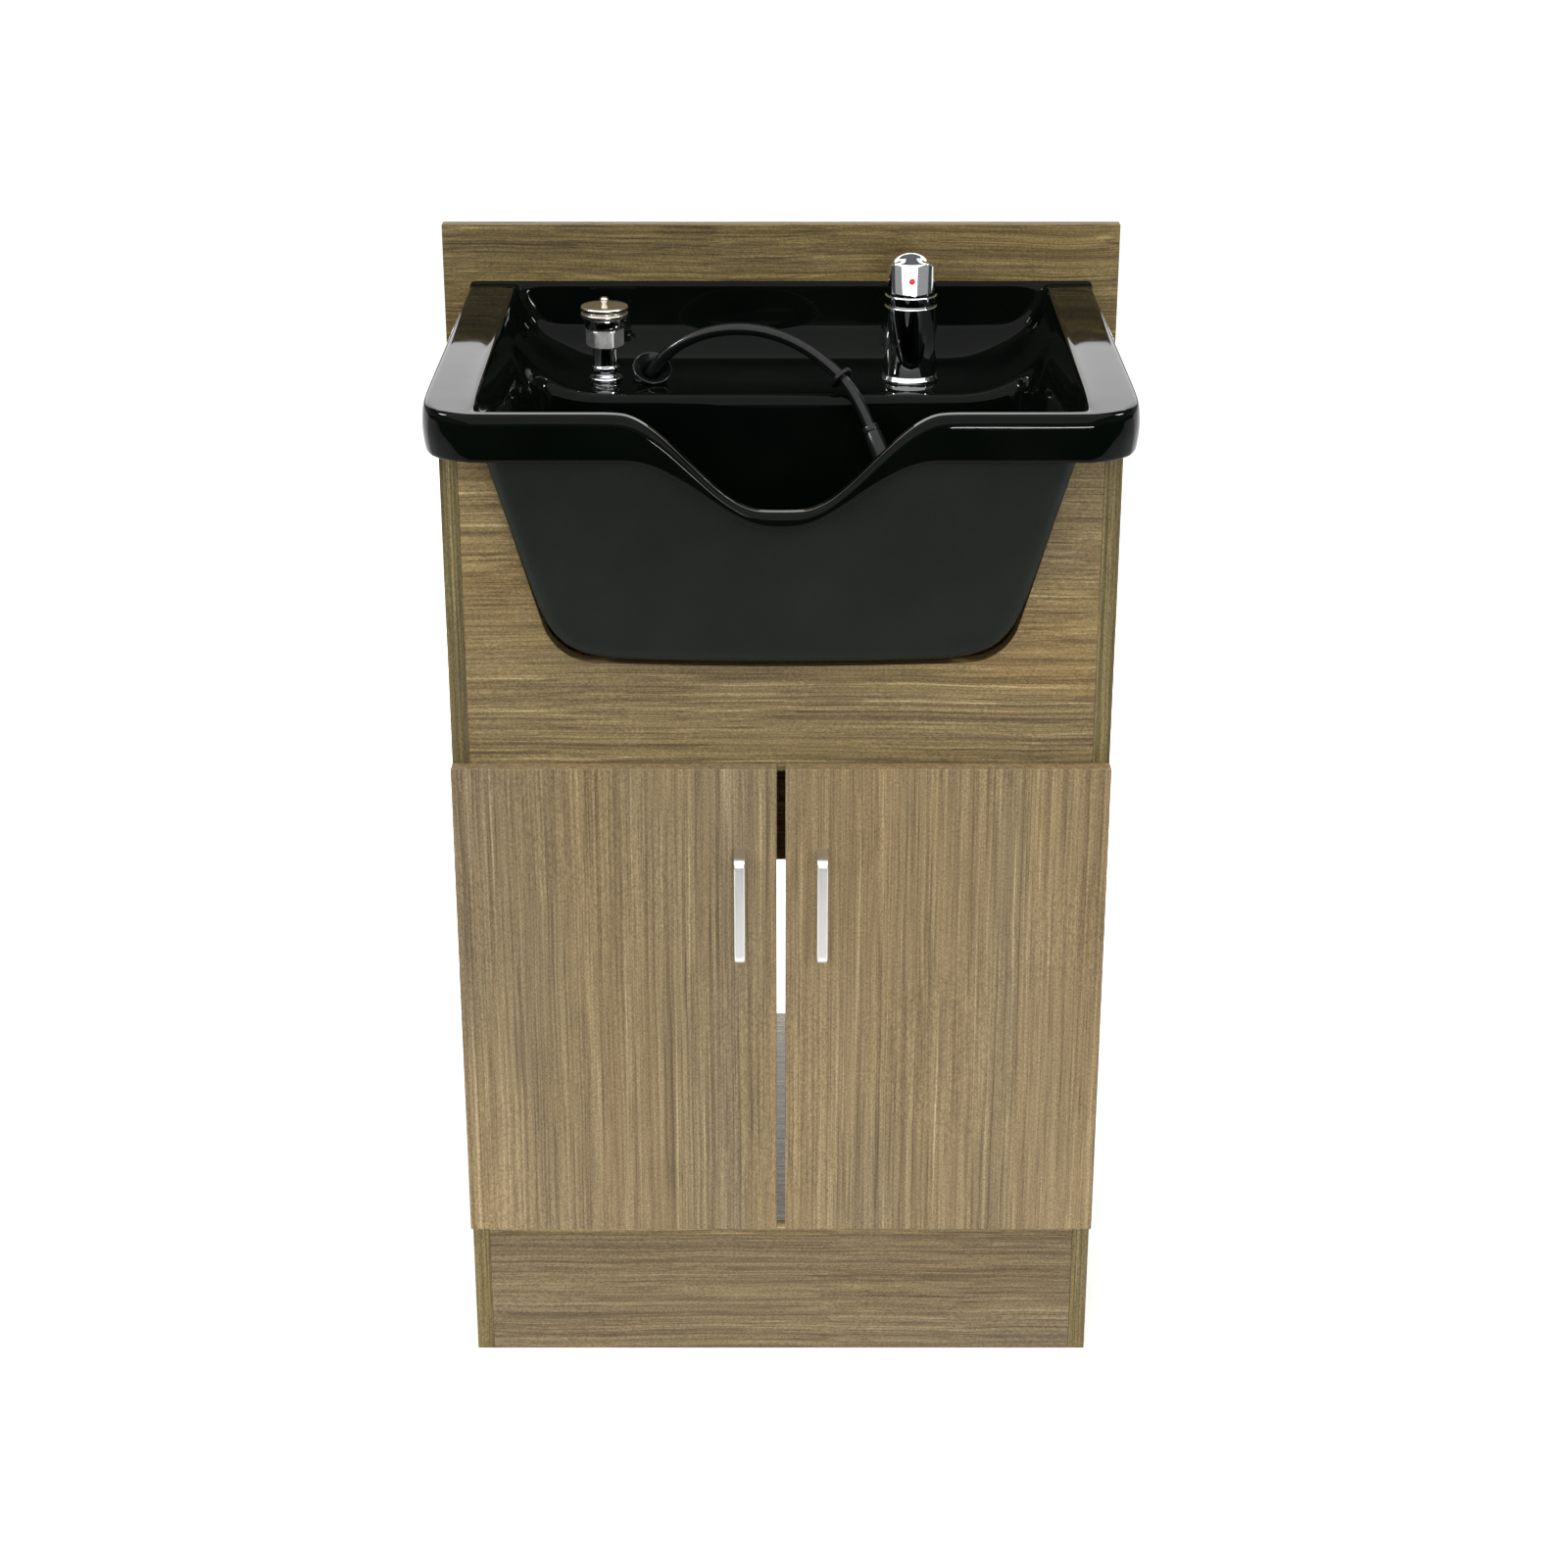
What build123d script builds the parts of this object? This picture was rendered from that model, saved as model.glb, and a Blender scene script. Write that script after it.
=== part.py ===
"""Salon shampoo unit: a laminate cabinet with two doors that carries a moulded bowl, a mixer tap,
a vacuum breaker, a hand spray on its hose, and the bowl's waste.

Millimetres, +Z up, +X to the right and +Y to the back. Depths are measured from the front edges of the
side panels, and save() then moves every piece so that the origin is at the bottom centre of the unit.
"""
from build123d import *
import math
import os

os.makedirs("parts", exist_ok=True)

# ---- Cabinet ----
CABINET_W = 600.0
CABINET_D = 450.0
BOARD = 16.0
SEAT_Z = 961.0                      # tops of the side panels, where the bowl's rim rests
KICK_H = 129.0
FLOOR_TOP = KICK_H + BOARD
APRON_BOTTOM = 617.0
CUTOUT_GAP = 3.0                    # the apron's cutout stands off the tub by this at the sides
CUTOUT_DROP = 8.0                   # and by this much more underneath
BACK_BOTTOM = 338.0                 # below this the back is open for the plumbing
BACK_TOP = 872.0
SPLASH_W = 680.0
SPLASH_Z = (855.0, 1025.0)
INNER_HALF = CABINET_W / 2 - BOARD
EDGE_ROUND = 0.8

# ---- Doors ----
DOOR_Z = (146.0, 626.0)
DOOR_GAP = 8.0
DOOR_STAND_OFF = 2.0
DOOR_BACK = -DOOR_STAND_OFF
DOOR_FRONT = DOOR_BACK - BOARD
HANDLE_X = 38.0
HANDLE_Z = (442.0, 548.0)
HANDLE_W = 10.0
HANDLE_REACH = 29.0
HANDLE_BAR = 6.0
HINGE_HEIGHTS = (226.0, 546.0)
HINGE_CUP_X = CABINET_W / 2 - 22.5
HINGE_CUP_R = 17.5
HINGE_CUP_DEPTH = 11.5

# ---- Bowl ----
RIM_Z = 965.0
WALL = 4.0
RIM_W = 631.0
LIP_FRONT = -54.0
RIM_BACK = 448.0
LIP_BOTTOM = 922.0
RIM_FRONT_R = 58.0
RIM_BACK_R = 6.0
TUB_HALF = 270.0                    # half width of the tub's outside at the seat
SIDE_LEAN = 0.295                   # how far the tub's sides lean out for each unit of height
TUB_BOTTOM = 730.0
TUB_SAG = 5.0
TUB_CORNER_R = 46.0
TUB_FRONT = (-42.0, -30.0)          # depth of the front wall's outside, at the seat and at the bottom
TUB_BACK = (320.0, 300.0)
TUB_EDGE_R = 22.0
DECK_Z = 887.0
DECK_BACK = (446.0, 441.0)
SHELF_INSET = 1.5                   # the shelf over the deck is this much narrower a side than the tub
DECK_CORNER_R = 48.0
DECK_EDGE_R = 9.0
UPSTAND_Z = 969.0                   # the bead along the rim's rear edge
NECK_Z = 878.0
NECK_TOP_HALF = 108.0
NECK_BOTTOM_HALF = 46.0
NECK_R = 58.0
NECK_LIP_Z = 861.0
NECK_SPAN = 150.0

# ---- Waste: heights are measured from the basin's floor at its middle ----
BASIN_FLOOR = TUB_BOTTOM + WALL
DRAIN_Y = 190.0
DRAIN_HOLE_R = 23.0
DRAIN_FLANGE_R = 38.0
DRAIN_TUBE_R = 22.0
TAIL_R = 19.05                      # one and a half inch waste tube
TAIL_Z = (-144.0, -30.0)
TAIL_FREE_TOP = -60.0
TAIL_HELD_R = TAIL_R - 0.5          # slimmer where the slip washer grips it

# ---- Mixer tap ----
TAP_X = 128.0
TAP_Y = 375.0
TAP_R = 26.0
TAP_BODY_Z = (893.0, 962.0)
RING_TOP = 973.0
LEVER_PIVOT_Z = 972.0
LEVER_Z = (973.5, 1014.0)
LEVER_FRONT_Z = 1003.0               # the top slopes up from here to the back
LEVER_SLOPE = 12.0
LEVER_LIFT = 20.0
RELIEF_RISE = 1.6                   # keeps the lever's rear edge off the trim ring when the lever is up
SHANK_R = 16.0
SHANK_BOTTOM = 840.0
TUBE_R = 4.76                       # three eighths inch supply tube
TAILS_END = 640.0
TAIL_SPREAD = 6.5

# ---- Vacuum breaker ----
BREAKER_X = -174.0
BREAKER_Y = 371.0
BREAKER_TUBE_R = 4.0

# ---- Spray hose: the points of its route, from the grommet to the collar ----
GROMMET_X = -130.0
GROMMET_Y = 372.0
HOSE_R = 6.0
HOSE_ROUTE = [
    (-130.0, 371.0, 893.0),
    (-117.0, 365.0, 912.0),
    (-93.0, 359.0, 931.0),
    (-58.0, 352.0, 943.0),
    (-18.0, 345.0, 943.5),
    (18.0, 336.0, 932.0),
    (50.0, 322.0, 912.0),
    (74.0, 304.0, 888.0),
    (86.0, 289.0, 862.0),
]
COLLAR_AT = 0.35                    # how far along the last run but one the collar sits

SPLASH_BACK = BOARD + CABINET_D
MIDDLE_Y = (LIP_FRONT + SPLASH_BACK) / 2


def save(part, node):
    """Write one node, a solid or a list of separate solids, moved into the unit's own frame."""
    pieces = part if isinstance(part, list) else [part]
    moved = [Pos(0, -MIDDLE_Y, 0) * piece for piece in pieces]
    export_step(moved[0] if len(moved) == 1 else Compound(children=moved), f"parts/{node}.step")


def block(x, y, z):
    """A box from its three (low, high) spans."""
    spans = (x, y, z)
    size = [high - low for low, high in spans]
    middle = [(high + low) / 2 for low, high in spans]
    return Pos(*middle) * Box(*size)


def board(x, y, z):
    """A laminate board with its arrises just broken."""
    return fillet(block(x, y, z).edges(), EDGE_ROUND)


def post(x, y, z, radius):
    """An upright cylinder over a (low, high) span of height."""
    return Pos(x, y, (z[0] + z[1]) / 2) * Cylinder(radius, z[1] - z[0])


def pipe(x, y, z, outer, inner):
    """An upright tube."""
    return post(x, y, z, outer) - post(x, y, (z[0] - 1, z[1] + 1), inner)


def hex_nut(x, y, z, flats, bore):
    """An upright hexagon nut."""
    blank = extrude(RegularPolygon(flats / 2, 6, major_radius=False), z[1] - z[0])
    return Pos(x, y, z[0]) * blank - post(x, y, (z[0] - 1, z[1] + 1), bore)


def other_side(part):
    """The mirror image, on the other side of the unit, of a solid or of each solid in a list."""
    if isinstance(part, list):
        return [other_side(piece) for piece in part]
    return mirror(part, Plane.YZ)


# ---- Cabinet carcass ----

def carcass_screws(clearance=0.0):
    """The screws through both side panels into the boards between them, or their holes."""
    places = [(60, 137), (390, 137), (8, 660), (8, 800), (8, 65), (442, 400), (442, 820)]
    along_x = Rotation(0, 90, 0)
    screws = []
    for y, z in places:
        shank = Pos(-275, y, z) * along_x * Cylinder(2.5 + clearance, 48)
        head = Pos(-298.9, y, z) * along_x * Cylinder(4.8 + clearance, 2.2 + clearance)
        screws += [shank + head, other_side(shank + head)]
    return screws


def drilled(part):
    """The part with the holes of the carcass screws taken out."""
    for screw in carcass_screws(clearance=0.1):
        part -= screw
    return part


def side_panel():
    """The left side panel, from the floor up to the bowl's rim."""
    return drilled(board((-CABINET_W / 2, -INNER_HALF), (0, CABINET_D), (0, SEAT_Z)))


def between_sides(y, z):
    """A board that runs from one side panel to the other."""
    return board((-INNER_HALF, INNER_HALF), y, z)


def apron():
    """The fixed front board, cut out round the tub."""
    blank = between_sides((0, BOARD), (APRON_BOTTOM, SEAT_Z))
    outline = tub_profile(SEAT_Z + 5, TUB_BOTTOM - CUTOUT_DROP, CUTOUT_GAP, TUB_SAG, TUB_CORNER_R)
    cutout = extrude(outline, 60, both=True)
    return drilled(blank - cutout)


def backsplash():
    """The board behind the bowl, wider than the cabinet."""
    return board((-SPLASH_W / 2, SPLASH_W / 2), (CABINET_D, SPLASH_BACK), SPLASH_Z)


def cleat():
    """The batten inside a side panel that widens the seat for the bowl's rim."""
    return board((-INNER_HALF, -INNER_HALF + 9), (20, 425), (SEAT_Z - 30, SEAT_Z))


def hanger_bracket():
    """The steel angle on the back board that carries the bowl's deck."""
    shelf = block((-60, 60), (398, 434), (880, 883))
    web = block((-60, 60), (431, 434), (830, 883))
    shelf = fillet(shelf.edges().filter_by(Axis.Z).group_by(Axis.Y)[0], 8)
    holes = [Pos(x, 432, 850) * Rotation(90, 0, 0) * Cylinder(2.6, 10) for x in (-40, 0, 40)]
    return shelf + web - holes


def bracket_screws():
    """The three screws that hold the bracket to the back board."""
    screws = []
    for x in (-40, 0, 40):
        head = Pos(x, 429.7, 850) * Rotation(90, 0, 0) * Cylinder(4.5, 2.4)
        shank = Pos(x, 438, 850) * Rotation(90, 0, 0) * Cylinder(2.0, 15)
        screws.append(head + shank)
    return screws


# ---- Doors, for the left side; the right one is its mirror image ----

def hinge_pockets(clearance=0.0):
    """The round pockets in the door's back for the hinge cups."""
    turn = Rotation(90, 0, 0)
    middle = DOOR_BACK - HINGE_CUP_DEPTH / 2
    radius = HINGE_CUP_R + clearance
    return [Pos(-HINGE_CUP_X, middle, z) * turn * Cylinder(radius, HINGE_CUP_DEPTH) for z in HINGE_HEIGHTS]


def handle_screw_heights():
    """Heights of a handle's two screws."""
    return (HANDLE_Z[0] + 5, HANDLE_Z[1] - 5)


def door():
    """The left door, bored for its hinges and its handle."""
    panel = board((-CABINET_W / 2, -DOOR_GAP / 2), (DOOR_FRONT, DOOR_BACK), DOOR_Z)
    holes = [
        Pos(-HANDLE_X, DOOR_FRONT, z) * Rotation(90, 0, 0) * Cylinder(2.3, 3 * BOARD)
        for z in handle_screw_heights()
    ]
    return panel - hinge_pockets(clearance=0.1) - holes


def handle():
    """A flat bow: one outline seen from the side, given the bar's width."""
    foot = DOOR_FRONT
    front = DOOR_FRONT - HANDLE_REACH
    low, high = HANDLE_Z
    outer = Polyline((foot, low), (front, low), (front, high), (foot, high), close=True)
    bow = extrude(Plane.YZ * make_face(outer), HANDLE_W / 2, both=True)
    bow = fillet(bow.edges().filter_by(Axis.X).group_by(Axis.Y)[0], 9)
    gap = block((-HANDLE_W, HANDLE_W), (front + HANDLE_BAR, foot + 1), (low + 9, high - 9))
    gap = fillet(gap.edges().filter_by(Axis.X).group_by(Axis.Y)[0], 4)
    return Pos(-HANDLE_X, 0, 0) * fillet((bow - gap).edges().filter_by(Axis.Z), 1.5)


def handle_screws():
    """Screws through the door from behind into the handle."""
    screws = []
    for z in handle_screw_heights():
        turn = Pos(-HANDLE_X, 0, z) * Rotation(90, 0, 0)
        shank = turn * Pos(0, 0, BOARD / 2 - DOOR_BACK) * Cylinder(2.0, BOARD)
        head = turn * Pos(0, 0, -DOOR_BACK - 1.0) * Cylinder(4.2, 2.0)
        screws.append(shank + head)
    return screws


def hinge_cups():
    """The steel cups with their flanges, in the door's pockets."""
    cups = []
    for z in HINGE_HEIGHTS:
        turn = Pos(-HINGE_CUP_X, DOOR_BACK, z) * Rotation(90, 0, 0)
        can = turn * Pos(0, 0, 5.6) * Cylinder(HINGE_CUP_R, 11.2)
        flange = turn * Pos(6, 0, -0.5) * Box(22, 56, 1.0)
        hollow = turn * Pos(0, 0, 4.0) * Cylinder(HINGE_CUP_R - 1.5, 12.0)
        cups.append(can + flange - hollow)
    return cups


def hinge_arms():
    """Each arm with its mounting plate, on the inside of the side panel."""
    arms = []
    for z in HINGE_HEIGHTS:
        arm = block((-278, -268), (3, 66), (z - 7, z + 7))
        arm = fillet(arm.edges().filter_by(Axis.Y).group_by(Axis.X)[-1], 3)
        web = block((-281.8, -278), (18, 64), (z - 6, z + 6))
        wings = block((-INNER_HALF, -281.8), (26, 48), (z - 24, z + 24))
        arms.append(arm + web + fillet(wings.edges().filter_by(Axis.X), 6))
    return arms


# ---- Bowl ----

def tub_half(z):
    """Half width of the tub's outside at a height."""
    return TUB_HALF + (z - SEAT_Z) * SIDE_LEAN


def tub_profile(top, bottom, grow, sag, corner):
    """The tub seen from the front, from top down to bottom, grown outwards by grow."""
    out = grow * math.hypot(1, SIDE_LEAN)
    low = bottom - grow
    foot = tub_half(low + sag) + out
    crown = tub_half(top) + out
    walls = Polyline((-foot, low + sag), (-crown, top), (crown, top), (foot, low + sag))
    if sag:
        base = ThreePointArc((foot, low + sag), (0, low), (-foot, low + sag))
    else:
        base = Line((foot, low), (-foot, low))
    face = make_face(walls + base)
    lower_corners = face.vertices().sort_by(Axis.Y)[:2]
    return Plane.XZ * fillet(lower_corners, corner + grow)


def trough(profile, front, back, top, bottom, corner):
    """A front profile run from the front wall to the back wall, each (depth at seat, depth at bottom)."""
    def depth(wall, z):
        return wall[0] + (wall[1] - wall[0]) * (SEAT_Z - z) / (SEAT_Z - TUB_BOTTOM)
    under = bottom - 30
    side = Polyline(
        (depth(front, top), top), (depth(front, under), under),
        (depth(back, under), under), (depth(back, top), top), close=True,
    )
    slab = extrude(Plane.YZ * make_face(side), 400, both=True)
    solid = extrude(profile, 600, both=True) & slab
    walls = solid.faces().filter_by(lambda f: abs(f.normal_at().Y) > 0.9)
    edges = [e for f in walls for e in f.edges() if e.center().Z < top - 1]
    return fillet(edges, corner)


def tub(grow, top):
    """The deep tub and the shelf behind it, as one solid body: grow is 0 outside and -WALL inside."""
    front = [y - grow for y in TUB_FRONT]
    back = [y + grow for y in TUB_BACK]
    shelf_back = [y + grow for y in DECK_BACK]
    basin_face = tub_profile(top, TUB_BOTTOM, grow, TUB_SAG, TUB_CORNER_R)
    basin = trough(basin_face, front, back, top, TUB_BOTTOM, TUB_EDGE_R + grow)
    shelf_face = tub_profile(top, DECK_Z - WALL - SHELF_INSET, grow - SHELF_INSET, 0, DECK_CORNER_R)
    shelf = trough(shelf_face, (200, 200), shelf_back, top, DECK_Z, TUB_EDGE_R + grow)
    return basin + (shelf & block((-400, 400), (250, 500), (700, 1000)))


def above_neck_curve(edge_z, low_z):
    """The region above the neck rest's curve, seen from the front; it is level at edge_z at both ends."""
    top = RIM_Z + 30
    curve = FilletPolyline(
        (-NECK_SPAN, edge_z), (-NECK_TOP_HALF, edge_z), (-NECK_BOTTOM_HALF, low_z),
        (NECK_BOTTOM_HALF, low_z), (NECK_TOP_HALF, edge_z), (NECK_SPAN, edge_z),
        radius=NECK_R,
    )
    sides = Polyline((NECK_SPAN, edge_z), (NECK_SPAN, top), (-NECK_SPAN, top), (-NECK_SPAN, edge_z))
    return Plane.XZ * make_face(curve + sides)


def run_back(face, y):
    """A face in the front plane extruded over a (low, high) span of depth."""
    return Pos(0, y[0], 0) * extrude(face, y[1] - y[0], dir=(0, 1, 0))


def rim():
    """The rim with its turned-down lip on the front and the sides, and the neck rest cut into it."""
    depth = RIM_BACK - LIP_FRONT
    plan = Pos(0, (RIM_BACK + LIP_FRONT) / 2) * Rectangle(RIM_W, depth)
    plan = fillet(plan.vertices().group_by(Axis.Y)[0], RIM_FRONT_R)
    plan = fillet(plan.vertices().group_by(Axis.Y)[-1], RIM_BACK_R)
    hollow = Pos(0, (RIM_BACK + LIP_FRONT) / 2 + 20) * Rectangle(RIM_W - 2 * WALL, depth + 40 - 2 * WALL)
    hollow = fillet(hollow.vertices().group_by(Axis.Y)[0], RIM_FRONT_R - WALL)
    lid = Pos(0, 0, LIP_BOTTOM) * extrude(plan, RIM_Z - LIP_BOTTOM)
    lid -= Pos(0, 0, LIP_BOTTOM - 1) * extrude(hollow, SEAT_Z - LIP_BOTTOM + 1)
    lid += block((-RIM_W / 2 + 6, RIM_W / 2 - 6), (RIM_BACK - 5, RIM_BACK), (RIM_Z - 1, UPSTAND_Z))
    notch = above_neck_curve(RIM_Z, NECK_Z)
    band = above_neck_curve(LIP_BOTTOM, NECK_LIP_Z) - notch
    under = above_neck_curve(RIM_Z - WALL, NECK_Z - WALL) - notch
    lid -= run_back(notch, (LIP_FRONT - 10, TUB_FRONT[1] + 10))
    lid += run_back(band, (LIP_FRONT, LIP_FRONT + WALL))
    lid += run_back(under, (LIP_FRONT, TUB_FRONT[1]))
    return lid


def bowl():
    """Rim, tub and deck as one moulding, with the holes for the fittings."""
    notch = above_neck_curve(RIM_Z, NECK_Z)
    outside = tub(0, SEAT_Z) - run_back(notch, (LIP_FRONT - 10, TUB_FRONT[1] + 10))
    shell = rim() + outside - tub(-WALL, RIM_Z + 5)
    deck_edge = shell.edges().filter_by(Axis.X).filter_by(
        lambda e: abs(e.center().Z - DECK_Z) < 0.5 and 290 < e.center().Y < 330)
    shell = fillet(deck_edge, DECK_EDGE_R)
    shell -= waste((-34, 26), DRAIN_HOLE_R)
    shell -= post(TAP_X, TAP_Y, (870, 900), SHANK_R + 0.5)
    shell -= post(BREAKER_X, BREAKER_Y, (870, 900), 11.5)
    shell -= post(GROMMET_X, GROMMET_Y, (870, 900), 13.3)
    return shell


# ---- Waste ----

def from_floor(z):
    """A span of height on the waste, turned into heights above the ground."""
    return (BASIN_FLOOR + z[0], BASIN_FLOOR + z[1])


def waste(z, radius):
    """A round of the waste over a (low, high) span."""
    return post(0, DRAIN_Y, from_floor(z), radius)


def waste_ring(z, outer, inner):
    """A ring round the waste."""
    return waste(z, outer) - waste((z[0] - 1, z[1] + 1), inner)


def drain_body():
    """The flanged waste in the bowl's floor, stepped inside to carry the strainer."""
    flange = waste((0.6, 3.6), DRAIN_FLANGE_R)
    flange = fillet(flange.edges().group_by(Axis.Z)[-1], 1.4)
    return flange + waste((-42, 1), DRAIN_TUBE_R) - waste((-44, -3.5), 20.2) - waste((-4, 6), 21.0)


def hair_strainer():
    """A drilled plate with a knob to lift it by."""
    plate = waste((-3.4, -1.0), 20.6)
    holes = []
    for ring_r, count in ((7, 6), (14, 12)):
        for i in range(count):
            angle = 2 * math.pi * i / count
            x = ring_r * math.cos(angle)
            y = DRAIN_Y + ring_r * math.sin(angle)
            holes.append(post(x, y, from_floor((-6, 1)), 2.3))
    knob = fillet(waste((-1, 4), 2.5).edges().group_by(Axis.Z)[-1], 1)
    return plate - holes + knob


def tailpiece():
    """A waste tube; the length below the nut is left free for a trap."""
    free = waste((TAIL_Z[0], TAIL_FREE_TOP), TAIL_R)
    held = waste((TAIL_FREE_TOP, TAIL_Z[1]), TAIL_HELD_R)
    return free + held - waste((TAIL_Z[0] - 1, TAIL_Z[1] + 1), TAIL_R - 1.3)


def slip_nut():
    """The nut that squeezes the slip washer round the tailpiece."""
    blank = hex_nut(0, DRAIN_Y, from_floor((-54, -32)), 54, 19.3)
    return blank - waste((-49.5, -31), DRAIN_TUBE_R + 0.1)


# ---- Mixer tap ----

def tap_base_ring():
    """The stepped ring under the tap's body."""
    ring = pipe(TAP_X, TAP_Y, (DECK_Z, TAP_BODY_Z[0]), 29, SHANK_R + 0.2)
    return fillet(ring.edges().group_by(Axis.Z)[-1].sort_by(lambda e: -e.length)[0], 2.5)


def tap_body():
    """The tap's body, hollow for the cartridge."""
    body = post(TAP_X, TAP_Y, TAP_BODY_Z, TAP_R)
    body = chamfer(body.edges().group_by(Axis.Z)[-1], 0.8)
    return body - post(TAP_X, TAP_Y, (905, 967), 18.2)


def tap_ring():
    """The trim ring between the body and the lever."""
    ring = pipe(TAP_X, TAP_Y, (TAP_BODY_Z[1], RING_TOP), TAP_R - 0.6, 18.4)
    return fillet(ring.edges().group_by(Axis.Z)[-1], 1.2)


def lever_dome():
    """The ball-topped collar that turns with the spindle, and that the lever rocks over."""
    ball = Pos(TAP_X, TAP_Y, LEVER_PIVOT_Z) * Sphere(20.0)
    upper = block((TAP_X - 30, TAP_X + 30), (TAP_Y - 30, TAP_Y + 30), (RING_TOP + 0.4, 1000))
    neck = post(TAP_X, TAP_Y, (964, RING_TOP + 1), 14)
    return (ball & upper) + neck - post(TAP_X, TAP_Y, (960, 986), 5.1)


def lever_cap():
    """The lever: a round cap with a sloping top, hollowed over the dome and relieved at the back."""
    cap = post(TAP_X, TAP_Y, LEVER_Z, TAP_R - 0.8)
    slab = Box(80, 140, 60, align=(Align.CENTER, Align.CENTER, Align.MIN))
    cap -= Pos(TAP_X, TAP_Y - 26, LEVER_FRONT_Z) * Rotation(LEVER_SLOPE, 0, 0) * slab
    cap -= Pos(TAP_X, TAP_Y, LEVER_PIVOT_Z) * Sphere(20.5)
    wedge = Box(80, 80, 60, align=(Align.CENTER, Align.MIN, Align.MAX))
    cap -= Pos(TAP_X, TAP_Y, LEVER_PIVOT_Z + RELIEF_RISE) * Rotation(LEVER_LIFT + 3, 0, 0) * wedge
    return cap - index_dot(clearance=0.1)


def index_dot(clearance=0.0):
    """The red temperature mark on the front of the lever, or its recess."""
    turn = Pos(TAP_X, TAP_Y - TAP_R + 0.8, 989) * Rotation(90, 0, 0)
    return turn * Cylinder(3.0 + clearance, 1.4 + 2 * clearance)


def spindle():
    """The cartridge's spindle, inside the dome."""
    return post(TAP_X, TAP_Y, (951, 985.5), 5.0)


def supply_tail(x):
    """A straight copper tail under the tap, open at its lower end."""
    return post(x, TAP_Y + 4, (TAILS_END, TAP_BODY_Z[0]), TUBE_R) - post(
        x, TAP_Y + 4, (TAILS_END - 1, TAP_BODY_Z[0] - 2), TUBE_R - 0.9)


def bent_tube(points, radii, radius):
    """A solid tube along straight runs joined by arcs."""
    path = FilletPolyline(*points, radius=radii)
    start = Plane(origin=path @ 0, z_dir=path % 0)
    return sweep(start * Circle(radius), path)


def transfer_tube():
    """Carries mixed water under the deck, from the tap to the vacuum breaker."""
    y = TAP_Y - 8
    inlet_x = BREAKER_X - 4.4
    points = [(TAP_X, y, 892), (TAP_X, y, 795), (inlet_x, BREAKER_Y, 795), (inlet_x, BREAKER_Y, 886)]
    return bent_tube(points, 30, BREAKER_TUBE_R)


def outlet_tube():
    """Carries water from the vacuum breaker to the foot of the spray hose."""
    outlet_x = BREAKER_X + 4.4
    points = [
        (outlet_x, BREAKER_Y, 886), (outlet_x, BREAKER_Y, 822),
        (GROMMET_X, GROMMET_Y, 822), (GROMMET_X, GROMMET_Y, 880),
    ]
    return bent_tube(points, 18, BREAKER_TUBE_R)


# ---- Vacuum breaker ----

def breaker(z, radius):
    """A round of the vacuum breaker over a (low, high) span of height."""
    return post(BREAKER_X, BREAKER_Y, z, radius)


def breaker_body():
    """Neck with its ring, the seat of the hexagon, and the open chamber, in one turned piece."""
    neck = breaker((891, 923), 12) + breaker((894.5, 901), 14) + breaker((922, 940), 14)
    chamber = fillet(breaker((939, 950), 20.6).edges().group_by(Axis.Z)[0], 1.5)
    return neck + chamber - breaker((925, 941), 10) - breaker((940.5, 951), 16)


def breaker_cap():
    """Two tiers with a groove between them."""
    lower = fillet(breaker((950, 955), 23.4).edges(), 1.0)
    upper = fillet(breaker((957, 963), 23.5).edges(), 1.2)
    return lower + breaker((954, 958), 21) + upper


def breaker_float():
    """The disc and stem that lift to seal the vent while water flows."""
    return breaker((927, 930), 9) + breaker((929, 937), 3)


# ---- Spray ----

def grommet():
    """A sleeve through the deck with a bell mouth that leans forward."""
    bore = 7.6
    sleeve = post(GROMMET_X, GROMMET_Y, (866, 890), 13.0)
    flange = fillet(post(GROMMET_X, GROMMET_Y, (DECK_Z, 890), 17.5).edges().group_by(Axis.Z)[-1], 1)
    lean = Pos(GROMMET_X, GROMMET_Y, 889) * Rotation(38, 10, 0)
    outline = Polyline((0, -6), (13, -6), (13, 2), (20, 13), (20, 16), (0, 16), close=True)
    horn = lean * revolve(Plane.XZ * make_face(outline), Axis.Z)
    throat = Polyline((0, -8), (bore, -8), (bore, 3), (17, 17), (0, 17), close=True)
    cavity = lean * revolve(Plane.XZ * make_face(throat), Axis.Z)
    upper = block((-200, 0), (300, 450), (888, 950))
    return sleeve + flange + (horn & upper) - cavity - post(GROMMET_X, GROMMET_Y, (860, 893), bore)


def grommet_nut():
    """The nut under the deck that clamps the grommet."""
    return hex_nut(GROMMET_X, GROMMET_Y, (872, 883), 34, 13.1)


def arc_radii(points):
    """The largest arc that each corner's two runs allow, leaving a tenth of the shorter one straight."""
    radii = []
    for before, here, after in zip(points, points[1:], points[2:]):
        first = Vector(*here) - Vector(*before)
        second = Vector(*after) - Vector(*here)
        half_turn = math.radians(first.get_angle(second)) / 2
        radii.append(0.45 * min(first.length, second.length) / math.tan(half_turn))
    return radii


def spray_hose():
    """The hose above the deck, as a solid that follows its route."""
    return bent_tube(HOSE_ROUTE, arc_radii(HOSE_ROUTE), HOSE_R)


def along_spray(start, stations):
    """A turned piece on the spray's axis: stations are (distance from its own start, radius)."""
    hose_end = Vector(*HOSE_ROUTE[-1])
    aim = (hose_end - Vector(*HOSE_ROUTE[-2])).normalized()
    plane = Plane(origin=hose_end + aim * start, z_dir=aim)
    outline = Polyline((0, stations[0][0]), *[(r, d) for d, r in stations], (0, stations[-1][0]), close=True)
    return plane.location * revolve(Plane.XZ * make_face(outline), Axis.Z)


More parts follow.
